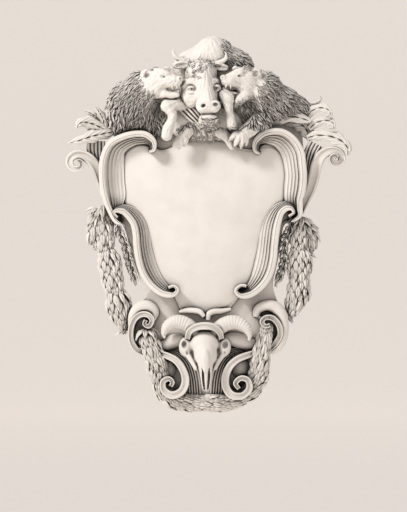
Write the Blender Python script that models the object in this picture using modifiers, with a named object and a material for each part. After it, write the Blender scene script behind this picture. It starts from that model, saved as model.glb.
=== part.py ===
"""A carved cartouche: a blank, swelling shield in a frame of fluted scrolls, under a
crest of two bears holding a bull, above an ox skull between two scrolls, with laurel
festoons at the sides and below. It is cut from one block, with a flat back for a wall.

Frame of the part: +Z up, the front faces -Y, and the wall face is the plane y = 0. The
origin is on the wall face, behind the middle of the shield. Places on the front are
given in squares of the carver's template, right and up from the origin. Depths are
squares forward of the ground, the plain face that all the carving stands on.
"""

import math

import bmesh
import bpy
from mathutils import Matrix, Vector
from mathutils.bvhtree import BVHTree

HEIGHT = 1.20  # top of the bull's hump to the bottom of the lower festoon
TEMPLATE_SQUARES = 377  # squares of the template over that height
SQUARE = HEIGHT / TEMPLATE_SQUARES

GROUND = 0.030  # thickness of the ground behind the carving
SAWN_OFF = 0.008  # stone behind the wall face, sawn off to make the back flat
FRAME_RISE = 0.072  # ground to the forward face of the frame's fillets
SHIELD_EDGE = 0.016  # ground to the edge of the shield
SHIELD_CROWN = 0.046  # ground to the crown of the shield
FILLET = 0.019  # width of the raised fillet along each frame scroll
FILLET_ARRIS = 0.0032  # drop at the fillet's outer edge
FILLET_STEP = 0.0080  # drop from the fillet to the first flute
FLUTE_DEPTH = 0.0040  # half the depth of the flutes in a frame scroll
VOLUTE_RISE = 0.062  # ground to the edge of the scrolls beside the skull
LEAF_THICK = 0.012  # thickness of an acanthus leaf
LAUREL_LENGTH = 0.054  # length of one laurel leaf
LAUREL_PITCH = 0.027  # from one ring of laurel leaves to the next
LAUREL_WIDTH = 0.030
LAUREL_THICK = 0.016
LOCK_LENGTH = 0.040  # length of one lock of a bear's coat
LOCK_WIDTH = 0.015
LOCK_THICK = 0.008
FLUTES = 3  # flutes across a frame scroll

CARVED_GRAIN = 0.0042  # size of the cells in which the block is cut out
SOFTENING = 2  # rounds of smoothing after it is cut
FACETS = 9500  # facets on the whole carving
STONE = (0.80, 0.76, 0.71, 1.0)

GROUND_OUTLINE = [
    (-87, 107), (-81, 125), (-65, 143), (-45, 151), (-23, 169), (6, 183),
    (31, 169), (45, 151), (61, 139), (83, 125), (95, 109), (96, 85),
    (98, 65), (101, 47), (96, 25), (89, 9), (77, -1), (74, -20),
    (70, -40), (66, -59), (70, -75), (77, -89), (78, -107), (71, -121),
    (59, -129), (53, -145), (45, -161), (31, -172), (15, -178), (-2, -180),
    (-19, -178), (-35, -172), (-47, -162), (-53, -145), (-58, -127), (-71, -121),
    (-76, -105), (-73, -87), (-65, -77), (-61, -69), (-67, -55), (-73, -37),
    (-78, -20), (-82, -5), (-89, 7), (-99, 17), (-104, 35), (-104, 55),
    (-101, 73), (-93, 85), (-95, 97),
]
SHIELD_CENTRE = (-2, 0)
SHIELD_OUTLINE = [
    (0, -92), (-13, -87), (-25, -86), (-30, -77), (-35, -68), (-47, -59),
    (-55, -45), (-60, -27), (-62, -10), (-69, 7), (-82, 19), (-89, 33),
    (-91, 50), (-89, 67), (-80, 79), (-67, 84), (-55, 79), (-45, 75),
    (-32, 79), (-17, 87), (-1, 90), (15, 87), (27, 79), (39, 76),
    (49, 76), (59, 81), (73, 79), (82, 67), (84, 51), (82, 35),
    (77, 22), (66, 10), (59, -5), (56, -22), (52, -39), (47, -55),
    (35, -67), (29, -76), (21, -84), (9, -87),
]

# Each station of a scroll is a place, the scroll's width and how far its face stands
# forward of the frame's face.
UPPER_SCROLL_LEFT = [
    (-58, 74, 4, 0), (-54, 76, 6, 1), (-55, 83, 9, 1), (-62, 87, 13, 1),
    (-72, 87, 14.5, 0), (-83, 83, 17, 0), (-91.5, 76, 21, 0), (-95, 65, 24, 0),
    (-95.5, 53, 25, 0), (-95, 41, 25, -1), (-93.5, 30, 24, -2),
    (-93.5, 20, 18, -3), (-93, 12, 11, -2), (-90, 5, 8, 0), (-86, 2, 5, 1),
]
LOWER_SCROLL_LEFT = [
    (-90, 7, 4, 2), (-94, 12, 5, 3), (-91, 15.5, 7, 3), (-83, 15.5, 11, 2),
    (-75, 11, 15, 1), (-68.5, 3, 17, 0), (-65.5, -8, 18, 0),
    (-64.5, -21, 18, 0), (-62, -34, 19, 0), (-58, -46, 19, 0), (-51.5, -57, 17, 0),
    (-43, -65, 14, 1), (-35, -68, 9, 2), (-31, -65, 7, 3), (-33.5, -62, 5, 3),
    (-38, -63.5, 5, 3),
]
UPPER_SCROLL_RIGHT = [
    (53, 72, 4, 0), (49, 75, 6, 1), (49.5, 82, 8, 1), (55, 87, 12, 1),
    (63, 88.5, 16, 1), (73, 86.5, 20, 0), (81, 80, 22, 0), (86, 71, 23, 0),
    (88, 60, 22, 0), (89, 49, 22, -1), (88, 37, 22, -2), (87, 26, 19, -3),
    (90, 17, 12, -2), (91, 10, 8, 0), (86, 5, 5, 1),
]
LOWER_SCROLL_RIGHT = [
    (82, 8, 4, 2), (87.5, 12, 5, 3), (85, 17.5, 7, 3), (78, 18.5, 11, 2),
    (70.5, 14, 15, 1), (65, 4, 19, 0), (62.5, -7, 20, 0), (61, -20, 20, 0),
    (59.5, -32, 21, 0), (56.5, -45, 21, 0), (51.5, -56, 18, 0),
    (43, -66, 13, 1), (34.5, -69, 9, 2), (30, -65.5, 6, 3), (34, -61.5, 5, 3),
    (39, -62, 5, 3),
]

# The rest of the scrolls stand forward of the ground by their last number.
EAR_VOLUTE_LEFT = [
    (-103, 29, 6, 6), (-106, 43, 9, 8), (-110, 56, 11, 10), (-116, 64.5, 11, 12),
    (-123, 69.5, 10, 14), (-130.5, 70.5, 9, 16), (-136.5, 66.5, 8, 17), (-137, 60.5, 7.5, 18),
    (-132.5, 56, 6.5, 19), (-126.5, 57.5, 5.5, 20), (-125.5, 62.5, 4.5, 21),
    (-129.5, 64.5, 4, 22),
]
EAR_VOLUTE_RIGHT = [
    (94, 12, 6, 6), (99, 25, 9, 6), (104, 37, 11, 7), (107, 49, 12, 9),
    (109.5, 60, 12, 11), (114, 69, 11, 13), (122, 74, 10, 15), (131, 73, 9, 17),
    (135, 67, 8, 18), (132, 61, 7, 19), (126, 62, 6, 20), (124, 67, 5, 21),
    (128, 69.5, 4.5, 22), (130.5, 67, 4, 22),
]
EAR_FAN_LEFT = [
    (-106, 43, 5, 4), (-108, 56, 9, 6), (-110, 67, 15, 8), (-111, 76, 19, 10),
    (-111, 84, 18, 12),
]
EAR_FAN_RIGHT = [
    (98, 29, 5, 4), (100, 45, 9, 6), (102, 59, 13, 8), (105, 71, 17, 10),
    (110, 81, 17, 12),
]
SHIELD_LIPS = [
    [(-28, -87, 3, 10), (-21, -85.5, 5, 12), (-13, -85.5, 5.5, 14),
     (-7, -87, 5.5, 15), (-3, -91.5, 4, 15)],
    [(24, -84, 3, 10), (15, -86, 5, 12), (7, -86.5, 5.5, 14),
     (2, -89, 5.5, 15), (1, -95, 4, 15)],
]
LOWER_ROLLS = [
    [(-76, -101, 6, 4), (-74, -90, 9, 7), (-68, -82.5, 11, 9), (-59, -81.5, 12, 9),
     (-53, -87, 10, 7), (-54, -95, 5, 5)],
    [(49, -92, 6, 5), (51, -84.5, 9, 7), (59, -80.5, 10, 9), (68, -82, 12, 9),
     (74.5, -90, 12, 8), (77, -101, 10, 6), (76, -113, 9, 5), (71, -123, 8, 4),
     (64, -128, 5, 4)],
]
LOWER_VOLUTES = [
    [(-62, -129, 4, 3), (-70, -125, 6, 4), (-75.5, -116, 6, 5), (-76, -104, 6, 6),
     (-72.5, -94.5, 6, 8), (-66, -89.5, 6, 10), (-59, -90, 6, 12),
     (-55, -95, 5.5, 13), (-58, -101, 5, 14), (-62.5, -99, 4, 15), (-61, -95, 4, 15)],
    [(61, -126, 4, 4), (68, -119, 6, 5), (73, -110, 6, 7), (72, -100.5, 6, 9),
     (66, -93.5, 6, 11), (59, -92.5, 5, 13), (55, -96.5, 5, 14),
     (58, -101, 4.5, 15), (63, -100, 4, 15)],
]
SKULL_SCROLLS = [
    [(-51, -128, 5, -8), (-42, -130, 6.5, -4), (-31, -135.5, 7, -1),
     (-24, -145, 7.5, 0), (-21.5, -156, 8, 0), (-25.5, -166, 8, 0),
     (-35, -170, 8, 1), (-43, -165, 7, 1), (-44, -157, 6, 2), (-38.5, -153.5, 5, 3),
     (-34.5, -157, 4.5, 3), (-36.5, -161, 4, 3)],
    [(51, -127, 5, -8), (41, -130, 6.5, -4), (31, -134, 7, -1), (23, -141, 7.5, 0),
     (18.5, -151, 8, 0), (19, -162, 8, 0), (25, -170, 8, 1), (35, -170.5, 7, 1),
     (42, -164, 7, 1), (41, -155.5, 6, 2), (34, -153, 5.5, 3), (28.5, -158, 5, 3),
     (32, -163.5, 4, 3)],
]
SKULL_STRAPS = [
    [(-50, -122, 8, 3), (-41, -120, 11, 5), (-33, -116, 14, 7), (-24, -115, 10, 9)],
    [(54, -120, 8, 3), (43, -119, 12, 5), (33, -116, 15, 7), (24, -114, 13, 8),
     (17, -116, 8, 9)],
]
SKULL_THROATS = [
    [(-39, -125, 6, 3), (-27, -129, 10, 4), (-18, -139, 12, 4), (-13.5, -154, 13, 3),
     (-12, -171, 13, 2)],
    [(36, -125, 6, 3), (24, -129, 10, 4), (15, -139, 12, 4), (10.5, -154, 13, 3),
     (9, -171, 13, 2)],
]
SKULL_DISHES = [(-39, -143, -3, 9, 11.5, 9), (33, -142, -3, 10, 11.5, 9)]
SKULL_BAND = [
    (-20, -113, 5, 14), (-16, -105, 6, 18), (-8, -101, 6.5, 21), (1, -101, 6.5, 21),
    (10, -105, 6, 18), (14, -113, 5, 14),
]

EAR_LEAVES = [
    [(-94, 93, 9, 12), (-104, 91, 13, 15), (-115, 88.5, 14, 18), (-127, 84.5, 10, 19),
     (-138.5, 81.5, 2, 17)],
    [(-100, 94, 8, 12), (-108.5, 98.5, 13, 15), (-118, 102, 15, 18), (-126, 102, 11, 21),
     (-130, 96, 3, 22)],
    [(-102, 96, 8, 10), (-108.5, 105.5, 9, 12), (-115, 111, 7, 13), (-123, 114.2, 1.5, 13)],
    [(-102, 96, 7, 12), (-104, 106, 9, 14), (-107.5, 112.5, 8, 16), (-112, 118.5, 1.5, 17)],
    [(76, 104, 8, 8), (88, 103.5, 15, 9), (98, 97.5, 17, 9), (103.5, 86, 9, 8)],
    [(55, 95, 7, 13), (62, 102.5, 11, 16), (74, 107.5, 14, 19), (88, 108, 13, 20),
     (102, 104, 7, 18)],
    [(99, 106, 8, 12), (104, 113.5, 10, 15), (113, 117, 10, 18), (121, 115, 8, 21),
     (123, 110, 5, 22), (118.5, 107.5, 3, 22)],
    [(101, 121, 2.5, 10), (108, 121.5, 3.5, 12), (114, 125, 3, 14),
     (113, 129, 1.5, 15)],
    [(102, 96, 8, 12), (110, 102.5, 10, 15), (119, 104.5, 10, 18), (126, 101.5, 7, 21),
     (126, 96, 4, 22), (121.5, 96.5, 3, 22)],
    [(100, 87, 7, 12), (110, 89.5, 11, 16), (123, 88.5, 13, 20), (134, 84, 14, 22),
     (140.5, 76.5, 10, 22), (140, 68.5, 3, 20)],
]

# Laurel festoons: each station is a place, the festoon's width and its axis's depth.
FESTOON_LEFT = [
    (-104, 19, 8, 2), (-103, 11, 13, 1), (-102.5, -1, 16, 1), (-102, -13, 17, 1),
    (-101, -22, 14, 1), (-99.5, -29, 21, 1), (-97, -42, 23, 1), (-94.5, -55, 22, 1),
    (-93, -64, 18, 1), (-90, -72, 25, 1), (-88.5, -83, 24, 0), (-86.5, -92, 17, -1),
    (-84.5, -100, 7, -2),
]
FESTOON_RIGHT = [
    (95, 8, 6, 2), (94, -1, 15, 1), (93.5, -11, 19, 1), (93, -20, 15, 1),
    (93, -28, 21, 1), (93, -41, 24, 1), (93, -52, 21, 1), (92.5, -61, 24, 1),
    (90.5, -71, 21, 1), (87.5, -80, 16, 1), (84.5, -86, 7, 1),
]
FESTOON_BELOW = [
    (-63, -109, 10, 10), (-57, -120, 16, 10), (-53, -132, 19, 9), (-49, -144, 19, 7),
    (-47, -156, 16, 5), (-42, -167, 15, 3), (-33, -174, 15, 2), (-20, -177.5, 15, 2),
    (-5, -178.5, 15, 2), (11, -178.5, 15, 2), (25, -176, 15, 2), (37, -170, 16, 3),
    (46, -161, 17, 5), (51, -150, 18, 7), (53, -138, 18, 9), (55, -125, 16, 10),
    (58, -113, 11, 10), (59, -104, 6, 10),
]
FESTOON_TUFTS = [
    [(-108, 16, 4, 2), (-111.5, 8, 8, 1), (-113, -1, 9, 0), (-113, -9, 8, -1),
     (-111.5, -15, 4, -2)],
    [(99, -1, 4, 2), (103, -9, 8, 1), (103.5, -16, 8, 0), (102.5, -21, 4, -1)],
]
HUSK_CHAINS = [
    [(-89, 2, 6, 2), (-87, -8, 8, 1), (-83, -19, 8, 1), (-79, -30, 8, 1),
     (-76, -41, 8, 0), (-72, -54, 4, 0)],
    [(84, 0, 6, 2), (80, -10, 8, 1), (77, -21, 8, 1), (77, -32, 8, 1),
     (75, -43, 8, 0), (70, -56, 4, 0)],
]

# Rounded masses of the animals: place, depth, and half width, height and depth.
BULL_MASSES = [
    (6, 165, 8, 20, 24, 18), (-11, 158, 8, 22, 18, 17), (25, 155, 8, 20, 20, 16),
    (-1, 101, 12, 40, 17, 13), (-17, 112, 9, 17, 17, 10), (-6, 150, 26, 15.5, 13, 13),
    (-15, 130, 26, 9.5, 13, 9.5), (10, 129, 23.5, 7.5, 14, 9), (1.5, 117, 43, 12.4, 7.2, 9.8),
    (0.5, 106, 36, 9.5, 5.4, 8), (2, 101, 29, 10.5, 5.5, 8),
    (-25.5, 159.5, 27, 9.4, 4.2, 3.8, -2), (12.5, 157.8, 27, 9.4, 4.2, 3.8, 10),
]
BULL_LIMBS = [
    [(-4, 147, 33, 9), (-1.5, 135, 38.5, 7.2), (0, 126, 42.5, 6.8), (1, 119, 45, 7.8)],
    [(-22, 139, 32, 3.2), (-16, 142.5, 37, 3.8), (-9, 141.5, 38.5, 3)],
    [(2.5, 142, 38.5, 3), (8, 143.5, 36, 3.6), (13, 140, 31, 3)],
    [(-19, 162, 22, 3.8), (-27, 165, 23, 3.2), (-32, 168.5, 24, 2.6), (-33.5, 174, 24, 1.4)],
    [(6, 160.5, 24, 3.6), (13, 162, 27, 3), (18.5, 165.5, 29, 2.4), (18.5, 171, 29, 1.3)],
    [(-19, 122, 20, 7), (-30, 121, 28, 7), (-39.5, 119, 33, 6.4)],
    [(-39, 118, 33, 6.2), (-34.5, 109, 35, 4.8), (-36.5, 101, 35.5, 4.6),
     (-39, 95, 36, 5.4), (-40, 89, 36, 5.4)],
    [(12, 133, 26, 6), (16.5, 130.5, 31, 6.6), (20.5, 126.5, 35, 6.9)],
    [(20.5, 126, 35, 6.6), (21.5, 118, 35.5, 4.8), (22.5, 111, 35.5, 4.2),
     (23.5, 105, 36, 4.8), (24.5, 100, 36, 4.6)],
    [(-29, 122, 22, 3), (-17, 109, 25, 3), (-4, 97, 23, 2.6)],
    [(-20, 126, 25, 3), (-9, 113, 29, 3), (-1, 101, 27, 2.6)],
]
BEAR_MASSES = [
    [(-62, 136, 21, 18, 18, 16), (-75, 122, 15, 22, 22, 17), (-82, 106, 8, 15, 13, 11),
     (-60, 107, 8, 17, 17, 11), (-40, 113, 6, 13, 24, 10)],
    [(55, 135, 21, 17, 18, 16), (70, 123, 14, 19, 16, 15), (84, 119, 9, 15, 10, 10),
     (45, 111, 8, 15, 22, 11), (31, 113, 5, 12, 22, 9)],
]
BEAR_LIMBS = [
    [(-15, 98, 18, 6), (-23, 89, 24, 5.6), (-29, 82, 26, 4.8)],
    [(-29, 83, 27, 2.8), (-34, 77, 25, 1.6)],
    [(-26, 82, 27, 2.8), (-28.5, 76, 25, 1.6)],
    [(-97, 120, 8, 1.5), (-89, 115, 12, 6), (-79, 113, 14, 8)],
    [(55, 107, 18, 8), (44, 96, 25, 7), (34, 89, 29, 6.2)],
    [(33, 88, 31, 3), (27.5, 78, 29, 1.6)],
    [(29, 91, 31, 3), (22, 84, 28, 1.6)],
    [(36, 87, 31, 3), (33.5, 76, 28, 1.6)],
    [(39, 89, 29, 2.6), (39, 79, 27, 1.4)],
    [(9, 95, 18, 6), (18, 89, 22, 5), (25, 77, 22, 2.4)],
    [(100, 115, 8, 1.5), (93, 117, 11, 5), (83, 119, 14, 7)],
]
# A bear's head is laid out from its nose: how far back, how far down, depth, and radii.
BEAR_NOSES = [(-26.5, 145), (15.5, 146)]
BEAR_SKULLS = [
    (24, 0.5, 28, 13.5, 12, 12.5), (23, 8, 29, 10, 8.5, 10), (34, -4.6, 33, 5.6, 5.8, 5),
    (13, -9.8, 30, 3.6, 3, 3.6), (0.8, -0.4, 40.5, 3.6, 3.2, 4.2),
]
BEAR_MUZZLE = [(15, 0, 33.5, 8.8), (8.5, 1.4, 37, 7.2), (4, 2.4, 38.5, 5.6)]
BEAR_BROW = [(24, -9, 36, 2.8), (18.5, -7.6, 39.4, 3), (13, -5.6, 40.6, 2.6)]
BEAR_JAWS = [
    [(21, 13.8, 27, 6), (17, 13.8, 33, 4.8), (10, 15.6, 35, 3.9), (3.5, 15, 36.5, 3)],
    [(28, 14, 27, 6), (24, 14, 31, 6.4), (19.5, 19, 33, 5), (14.5, 22.5, 34.5, 4)],
]
SKULL_MASSES = [
    (-2.5, -118, 17, 14, 13.5, 13.5), (-1.5, -130, 21, 11.5, 11, 10),
    (-21.5, -122, 15, 6.6, 10, 8), (17.5, -122, 14, 6.4, 9.5, 8),
    (-1.5, -136, 32, 4.6, 12, 3.6),
]
SKULL_LIMBS = [
    [(-1.5, -127, 24, 9.2), (-1.5, -139, 26, 7.4), (-1, -151, 26.5, 5.8),
     (-1, -162, 25.5, 4.2)],
    [(-12, -106, 16, 6.8), (-21, -99, 17, 7.2), (-31, -96.8, 18, 6.9), (-39.5, -101, 20, 5.3),
     (-42.4, -111, 22, 1.8)],
    [(8, -106, 16, 6.8), (18, -99, 17, 7.4), (29, -97.4, 18, 7), (38.5, -102.5, 20, 5.4),
     (42, -113, 22, 1.8)],
    [(-20, -129, 17, 3), (-15.5, -135, 20, 2.8), (-11, -143, 22.5, 2.4)],
    [(16.5, -129, 16, 2.8), (12, -135, 19, 2.6), (7.5, -143, 22, 2.2)],
]

# Hollows: place, depth of the middle, half sizes, and turn in degrees.
HOLLOWS = [
    (-22.7, -119, 26, 3.4, 5.2, 8, 0), (18.3, -119.5, 26, 3.8, 5.4, 8, 0),
    (-0.8, -155, 32, 2.8, 8.5, 4, 0), (-32.5, 134.6, 41, 8, 2.8, 8, 0),
    (29, 133, 41, 8.5, 3.6, 8, 0), (-4, 117.6, 52, 2.5, 2, 3.4, 0),
    (8.4, 117.6, 52, 2.3, 2, 3.4, 0), (-15.7, 135.2, 38.5, 4.4, 2.6, 3.6, 0),
    (10, 136.4, 37, 3.8, 2.6, 3.6, 0), (-60, 149.4, 39.5, 2.8, 2.8, 3, 0),
    (49, 150.4, 39.5, 2.8, 2.8, 3, 0),
]
# The bears' coats: the patch of each coat, and the place that its locks fall away from.
COATS = [
    ((-95, 107), (-57, 149), (-43, 141)),
    ((99, 109), (47, 149), (36, 141)),
]


def squares(length):
    """A real length in squares of the template."""
    return length / SQUARE


def place(x, z, depth):
    """The point on the block at a place of the template, a depth forward of the ground."""
    return Vector((x * SQUARE, -(GROUND + depth * SQUARE), z * SQUARE))


def flow(stations, steps, closed=False):
    """A smooth run of stations through the given ones, with steps between each two."""
    count = len(stations)
    spans = count if closed else count - 1
    run = []
    for span in range(spans):
        picked = []
        for offset in (-1, 0, 1, 2):
            index = span + offset
            index = index % count if closed else min(max(index, 0), count - 1)
            picked.append(Vector(stations[index]))
        before, start, end, after = picked
        for step in range(steps):
            t = step / steps
            run.append(
                0.5
                * (
                    2 * start
                    + (end - before) * t
                    + (2 * before - 5 * start + 4 * end - after) * t**2
                    + (3 * start - before - 3 * end + after) * t**3
                )
            )
    if not closed:
        run.append(Vector(stations[-1]))
    return run


def loft(bm, rings):
    """Skins one closed ring of points after another and caps both ends."""
    made = [[bm.verts.new(point) for point in ring] for ring in rings]
    size = len(rings[0])
    for first, second in zip(made, made[1:]):
        for i in range(size):
            j = (i + 1) % size
            bm.faces.new((first[i], first[j], second[j], second[i]))
    bm.faces.new(made[0])
    bm.faces.new(reversed(made[-1]))


def headings(run):
    """The direction of the run at each of its stations, in the plane of the template."""
    found = []
    for i in range(len(run)):
        ahead = run[min(i + 1, len(run) - 1)]
        behind = run[max(i - 1, 0)]
        along = Vector((ahead[0] - behind[0], ahead[1] - behind[1]))
        found.append(along.normalized())
    return found


def cavetto(width, rise):
    """Across a frame scroll: the raised fillet, then a hollow with flutes down to the shield."""
    fillet = min(squares(FILLET), 0.6 * width)
    eased = min(squares(FILLET_ARRIS), fillet / 4)
    step = squares(FILLET_STEP)
    fall = max(rise - squares(SHIELD_EDGE), 2 * step) - step
    section = [(0.0, eased), (eased / width, 0.0), ((fillet - eased) / width, 0.0),
               (fillet / width, step)]
    cuts = 4 * FLUTES
    for k in range(1, cuts + 1):
        u = k / cuts
        ripple = squares(FLUTE_DEPTH) * math.cos(2 * math.pi * FLUTES * u) * (1 - u / 2)
        section.append(((fillet + (width - fillet) * u) / width, step + fall * u**0.7 - ripple))
    return section


def flat_edge(width, rise):
    """Across a plain scroll: a flat face with eased corners."""
    return [(0.0, 1.2), (0.15, 0.2), (0.5, 0.0), (0.85, 0.2), (1.0, 1.2)]


def half_round(width, rise):
    """Across a rounded roll."""
    drop = min(width * 0.45, rise + 2)
    return [(s, drop * (1 - math.sqrt(max(1 - (2 * s - 1) ** 2, 0)))) for s in
            (0.0, 0.12, 0.3, 0.5, 0.7, 0.88, 1.0)]


def fan(width, rise):
    """Across a flared leaf: ribs with hollows between them."""
    return [(k / 8, 1.2 * (k % 2)) for k in range(9)]


def scroll(bm, stations, section, fillet_side, face=0.0, back=None, thick=None, steps=3):
    """A strap along the stations. The section is read from the fillet's side across; the
    strap goes back to the depth back, or is only thick where that is given."""
    run = flow(stations, steps)
    rings = []
    for (x, z, width, rise), heading in zip(run, headings(run)):
        side = Vector((-heading.y, heading.x)) * fillet_side
        top = rise + face
        across = []
        for s, drop in section(width, top):
            offset = side * width * (0.5 - s)
            across.append(place(x + offset.x, z + offset.y, top - drop))
        low = top - thick if thick is not None else back
        ends = (across[0], across[-1])
        feet = [Vector((end.x, -(GROUND + low * SQUARE), end.z)) for end in ends]
        rings.append([feet[0], *across, feet[1]])
    loft(bm, rings)


def lobed(stations, lobes=3.0, depth=0.22):
    """The stations of a leaf, with its width swelling and shrinking into lobes."""
    run = flow(stations, 6)
    last = len(run) - 1
    return [
        (x, z, width * (1 - depth * abs(math.cos(math.pi * lobes * i / last))), rise)
        for i, (x, z, width, rise) in enumerate(run)
    ]


def leaf_section(width, rise):
    """Across an acanthus leaf: a sunk midrib between two swelling halves."""
    return [(0.0, 2.2), (0.15, 0.6), (0.32, 0.0), (0.5, 1.6), (0.68, 0.0), (0.85, 0.6), (1.0, 2.2)]


def ball(bm, x, z, depth, half_width, half_height, half_depth, turn=0.0):
    """An ellipsoid mass, turned about the line of sight by turn degrees."""
    scale = Matrix.Diagonal((half_width * SQUARE, half_depth * SQUARE, half_height * SQUARE, 1))
    turned = Matrix.Rotation(math.radians(turn), 4, "Y")
    bmesh.ops.create_uvsphere(
        bm, u_segments=20, v_segments=12, radius=1.0,
        matrix=Matrix.Translation(place(x, z, depth)) @ turned @ scale,
    )


def limb(bm, stations, sides=12, steps=3):
    """A round, tapering limb through the stations, each a place, a depth and a radius."""
    run = flow(stations, steps)
    points = [place(x, z, depth) for x, z, depth, radius in run]
    rings = []
    for i, (x, z, depth, radius) in enumerate(run):
        ahead = points[min(i + 1, len(points) - 1)] - points[max(i - 1, 0)]
        turn = ahead.to_track_quat("Z", "Y").to_matrix()
        rings.append([
            points[i] + turn @ Vector((math.cos(a), math.sin(a), 0)) * radius * SQUARE
            for a in (2 * math.pi * k / sides for k in range(sides))
        ])
    loft(bm, rings)
    for i in (0, -1):
        radius = run[i][3]
        bmesh.ops.create_uvsphere(
            bm, u_segments=sides, v_segments=6, radius=radius * SQUARE,
            matrix=Matrix.Translation(points[i]),
        )


def blade(bm, root, along, out, length, width, thick, lift=0.25):
    """A pointed leaf or lock: it starts at root, runs along, and stands out from its bed."""
    across = along.cross(out).normalized()
    rings = []
    for t, share in ((0.0, 0.35), (0.25, 0.85), (0.5, 1.0), (0.78, 0.6), (1.0, 0.08)):
        middle = root + along * length * t + out * length * lift * t * (1.15 - t * 0.6)
        half = width / 2 * share
        rings.append([
            middle + across * half,
            middle + out * thick * share * 0.6,
            middle - across * half,
            middle - out * thick * 0.7,
        ])
    loft(bm, rings)


def laurel(bm, stations, leaf_scale=1.0):
    """A festoon of laurel: a round core, dressed in rings of overlapping pointed leaves."""
    limb(bm, [(x, z, depth, width * 0.38) for x, z, width, depth in stations], sides=10)
    run = flow(stations, 12)
    points = [place(x, z, depth) for x, z, width, depth in run]
    travelled = 0.0
    ring = 0
    spacing = LAUREL_PITCH * leaf_scale
    for i in range(len(run) - 1):
        travelled += (points[i + 1] - points[i]).length
        if travelled < spacing:
            continue
        travelled = 0.0
        ring += 1
        radius = run[i][2] * 0.38 * SQUARE
        along = (points[i + 1] - points[i]).normalized()
        front = Vector((0, -1, 0))
        sideways = along.cross(front).normalized()
        leaves = max(4, round(2 * math.pi * radius / (LAUREL_WIDTH * 0.85 * leaf_scale)))
        for k in range(leaves):
            angle = 2 * math.pi * (k + 0.5 * (ring % 2)) / leaves
            out = front * math.cos(angle) + sideways * math.sin(angle)
            blade(bm, points[i] + out * radius * 0.8, along, out, LAUREL_LENGTH * leaf_scale,
                  LAUREL_WIDTH * leaf_scale, LAUREL_THICK * leaf_scale, 0.22)


def husks(bm, stations):
    """A thin chain of husks: a slim core with slanting leaves crossing it in turn."""
    limb(bm, [(x, z, depth, width * 0.25) for x, z, width, depth in stations], sides=8)
    run = flow(stations, 3)
    for i in range(len(run) - 1):
        x, z, width, depth = run[i]
        here = place(x, z, depth)
        along = (place(*run[i + 1][:2], run[i + 1][3]) - here).normalized()
        out = Vector((0, -1, 0))
        across = along.cross(out).normalized()
        slant = (along + across * (0.9 if i % 2 else -0.9)).normalized()
        blade(bm, here - slant * width * 0.4 * SQUARE + out * width * 0.2 * SQUARE, slant, out,
              width * 1.15 * SQUARE, width * 0.42 * SQUARE, LAUREL_THICK * 0.8, 0.1)


def ground(bm):
    """The plain ground behind the carving, from behind the wall face to its own face."""
    outline = flow(GROUND_OUTLINE, 2, closed=True)
    rings = []
    for depth in (-squares(GROUND + SAWN_OFF), -1.0, 0.0):
        inset = 0.985 if depth == 0.0 else 1.0
        rings.append([place(x * inset, z * inset, depth) for x, z in outline])
    loft(bm, rings)


def shield(bm):
    """The blank shield: a swelling field that rolls over at its edge."""
    outline = flow(SHIELD_OUTLINE, 2, closed=True)
    cx, cz = SHIELD_CENTRE
    edge, crown = squares(SHIELD_EDGE), squares(SHIELD_CROWN)
    rings = [[place(x, z, -2.0) for x, z in outline]]
    for share in (1.0, 0.985, 0.95, 0.85, 0.7, 0.5, 0.25, 0.05):
        swell = edge + (crown - edge) * (1 - share**2.2) ** 0.8
        rings.append([place(cx + (x - cx) * share, cz + (z - cz) * share, swell) for x, z in outline])
    loft(bm, rings)


def frame_scrolls(bm):
    """The four fluted scrolls that hold the shield, each with its fillet outside."""
    face = squares(FRAME_RISE)
    for stations, outside in (
        (UPPER_SCROLL_LEFT, -1), (LOWER_SCROLL_LEFT, -1),
        (UPPER_SCROLL_RIGHT, 1), (LOWER_SCROLL_RIGHT, 1),
    ):
        scroll(bm, stations, cavetto, outside, face=face, back=-4.0)


def ears(bm):
    """The volutes and acanthus leaves that spread from the frame's shoulders."""
    for stations, outside in ((EAR_VOLUTE_LEFT, -1), (EAR_VOLUTE_RIGHT, 1)):
        scroll(bm, stations, flat_edge, outside, back=-5.0)
    for stations in (EAR_FAN_LEFT, EAR_FAN_RIGHT):
        scroll(bm, stations, fan, 1, thick=9.0)
    for stations in EAR_LEAVES:
        scroll(bm, lobed(stations), leaf_section, 1, thick=squares(LEAF_THICK) + 2, steps=1)


def lower_scrolls(bm):
    """The rolls, volutes and straps around the skull."""
    for stations in LOWER_ROLLS:
        scroll(bm, stations, half_round, 1, face=7.0, back=-4.0)
    for stations in LOWER_VOLUTES:
        scroll(bm, stations, flat_edge, 1, face=7.0, back=-4.0)
    for stations in SKULL_SCROLLS:
        scroll(bm, stations, flat_edge, 1, face=squares(VOLUTE_RISE), back=-4.0)
    for stations in SKULL_STRAPS:
        scroll(bm, stations, half_round, 1, face=3.0, back=-4.0)
    for stations in SKULL_THROATS:
        scroll(bm, stations, half_round, 1, thick=9.0)
    for dish in SKULL_DISHES:
        ball(bm, *dish)
    for stations in SHIELD_LIPS:
        scroll(bm, stations, half_round, 1, face=4.0, back=-4.0)


def skull(bm):
    """The ox skull with its horns and the band tied round its brow."""
    for mass in SKULL_MASSES:
        ball(bm, *mass)
    for stations in SKULL_LIMBS:
        limb(bm, stations)
    scroll(bm, SKULL_BAND, half_round, 1, face=8.0, thick=14.0)


def bear_head(bm, nose, way, jaw):
    """A bear's head in profile. It looks along +X where way is 1 and along -X where it is -1."""

    def laid_out(spot):
        back, down, *rest = spot
        return nose[0] - way * back, nose[1] - down, *rest

    for mass in BEAR_SKULLS:
        ball(bm, *laid_out(mass))
    for stations in (BEAR_MUZZLE, BEAR_BROW, jaw):
        limb(bm, [laid_out(station) for station in stations])


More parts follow.
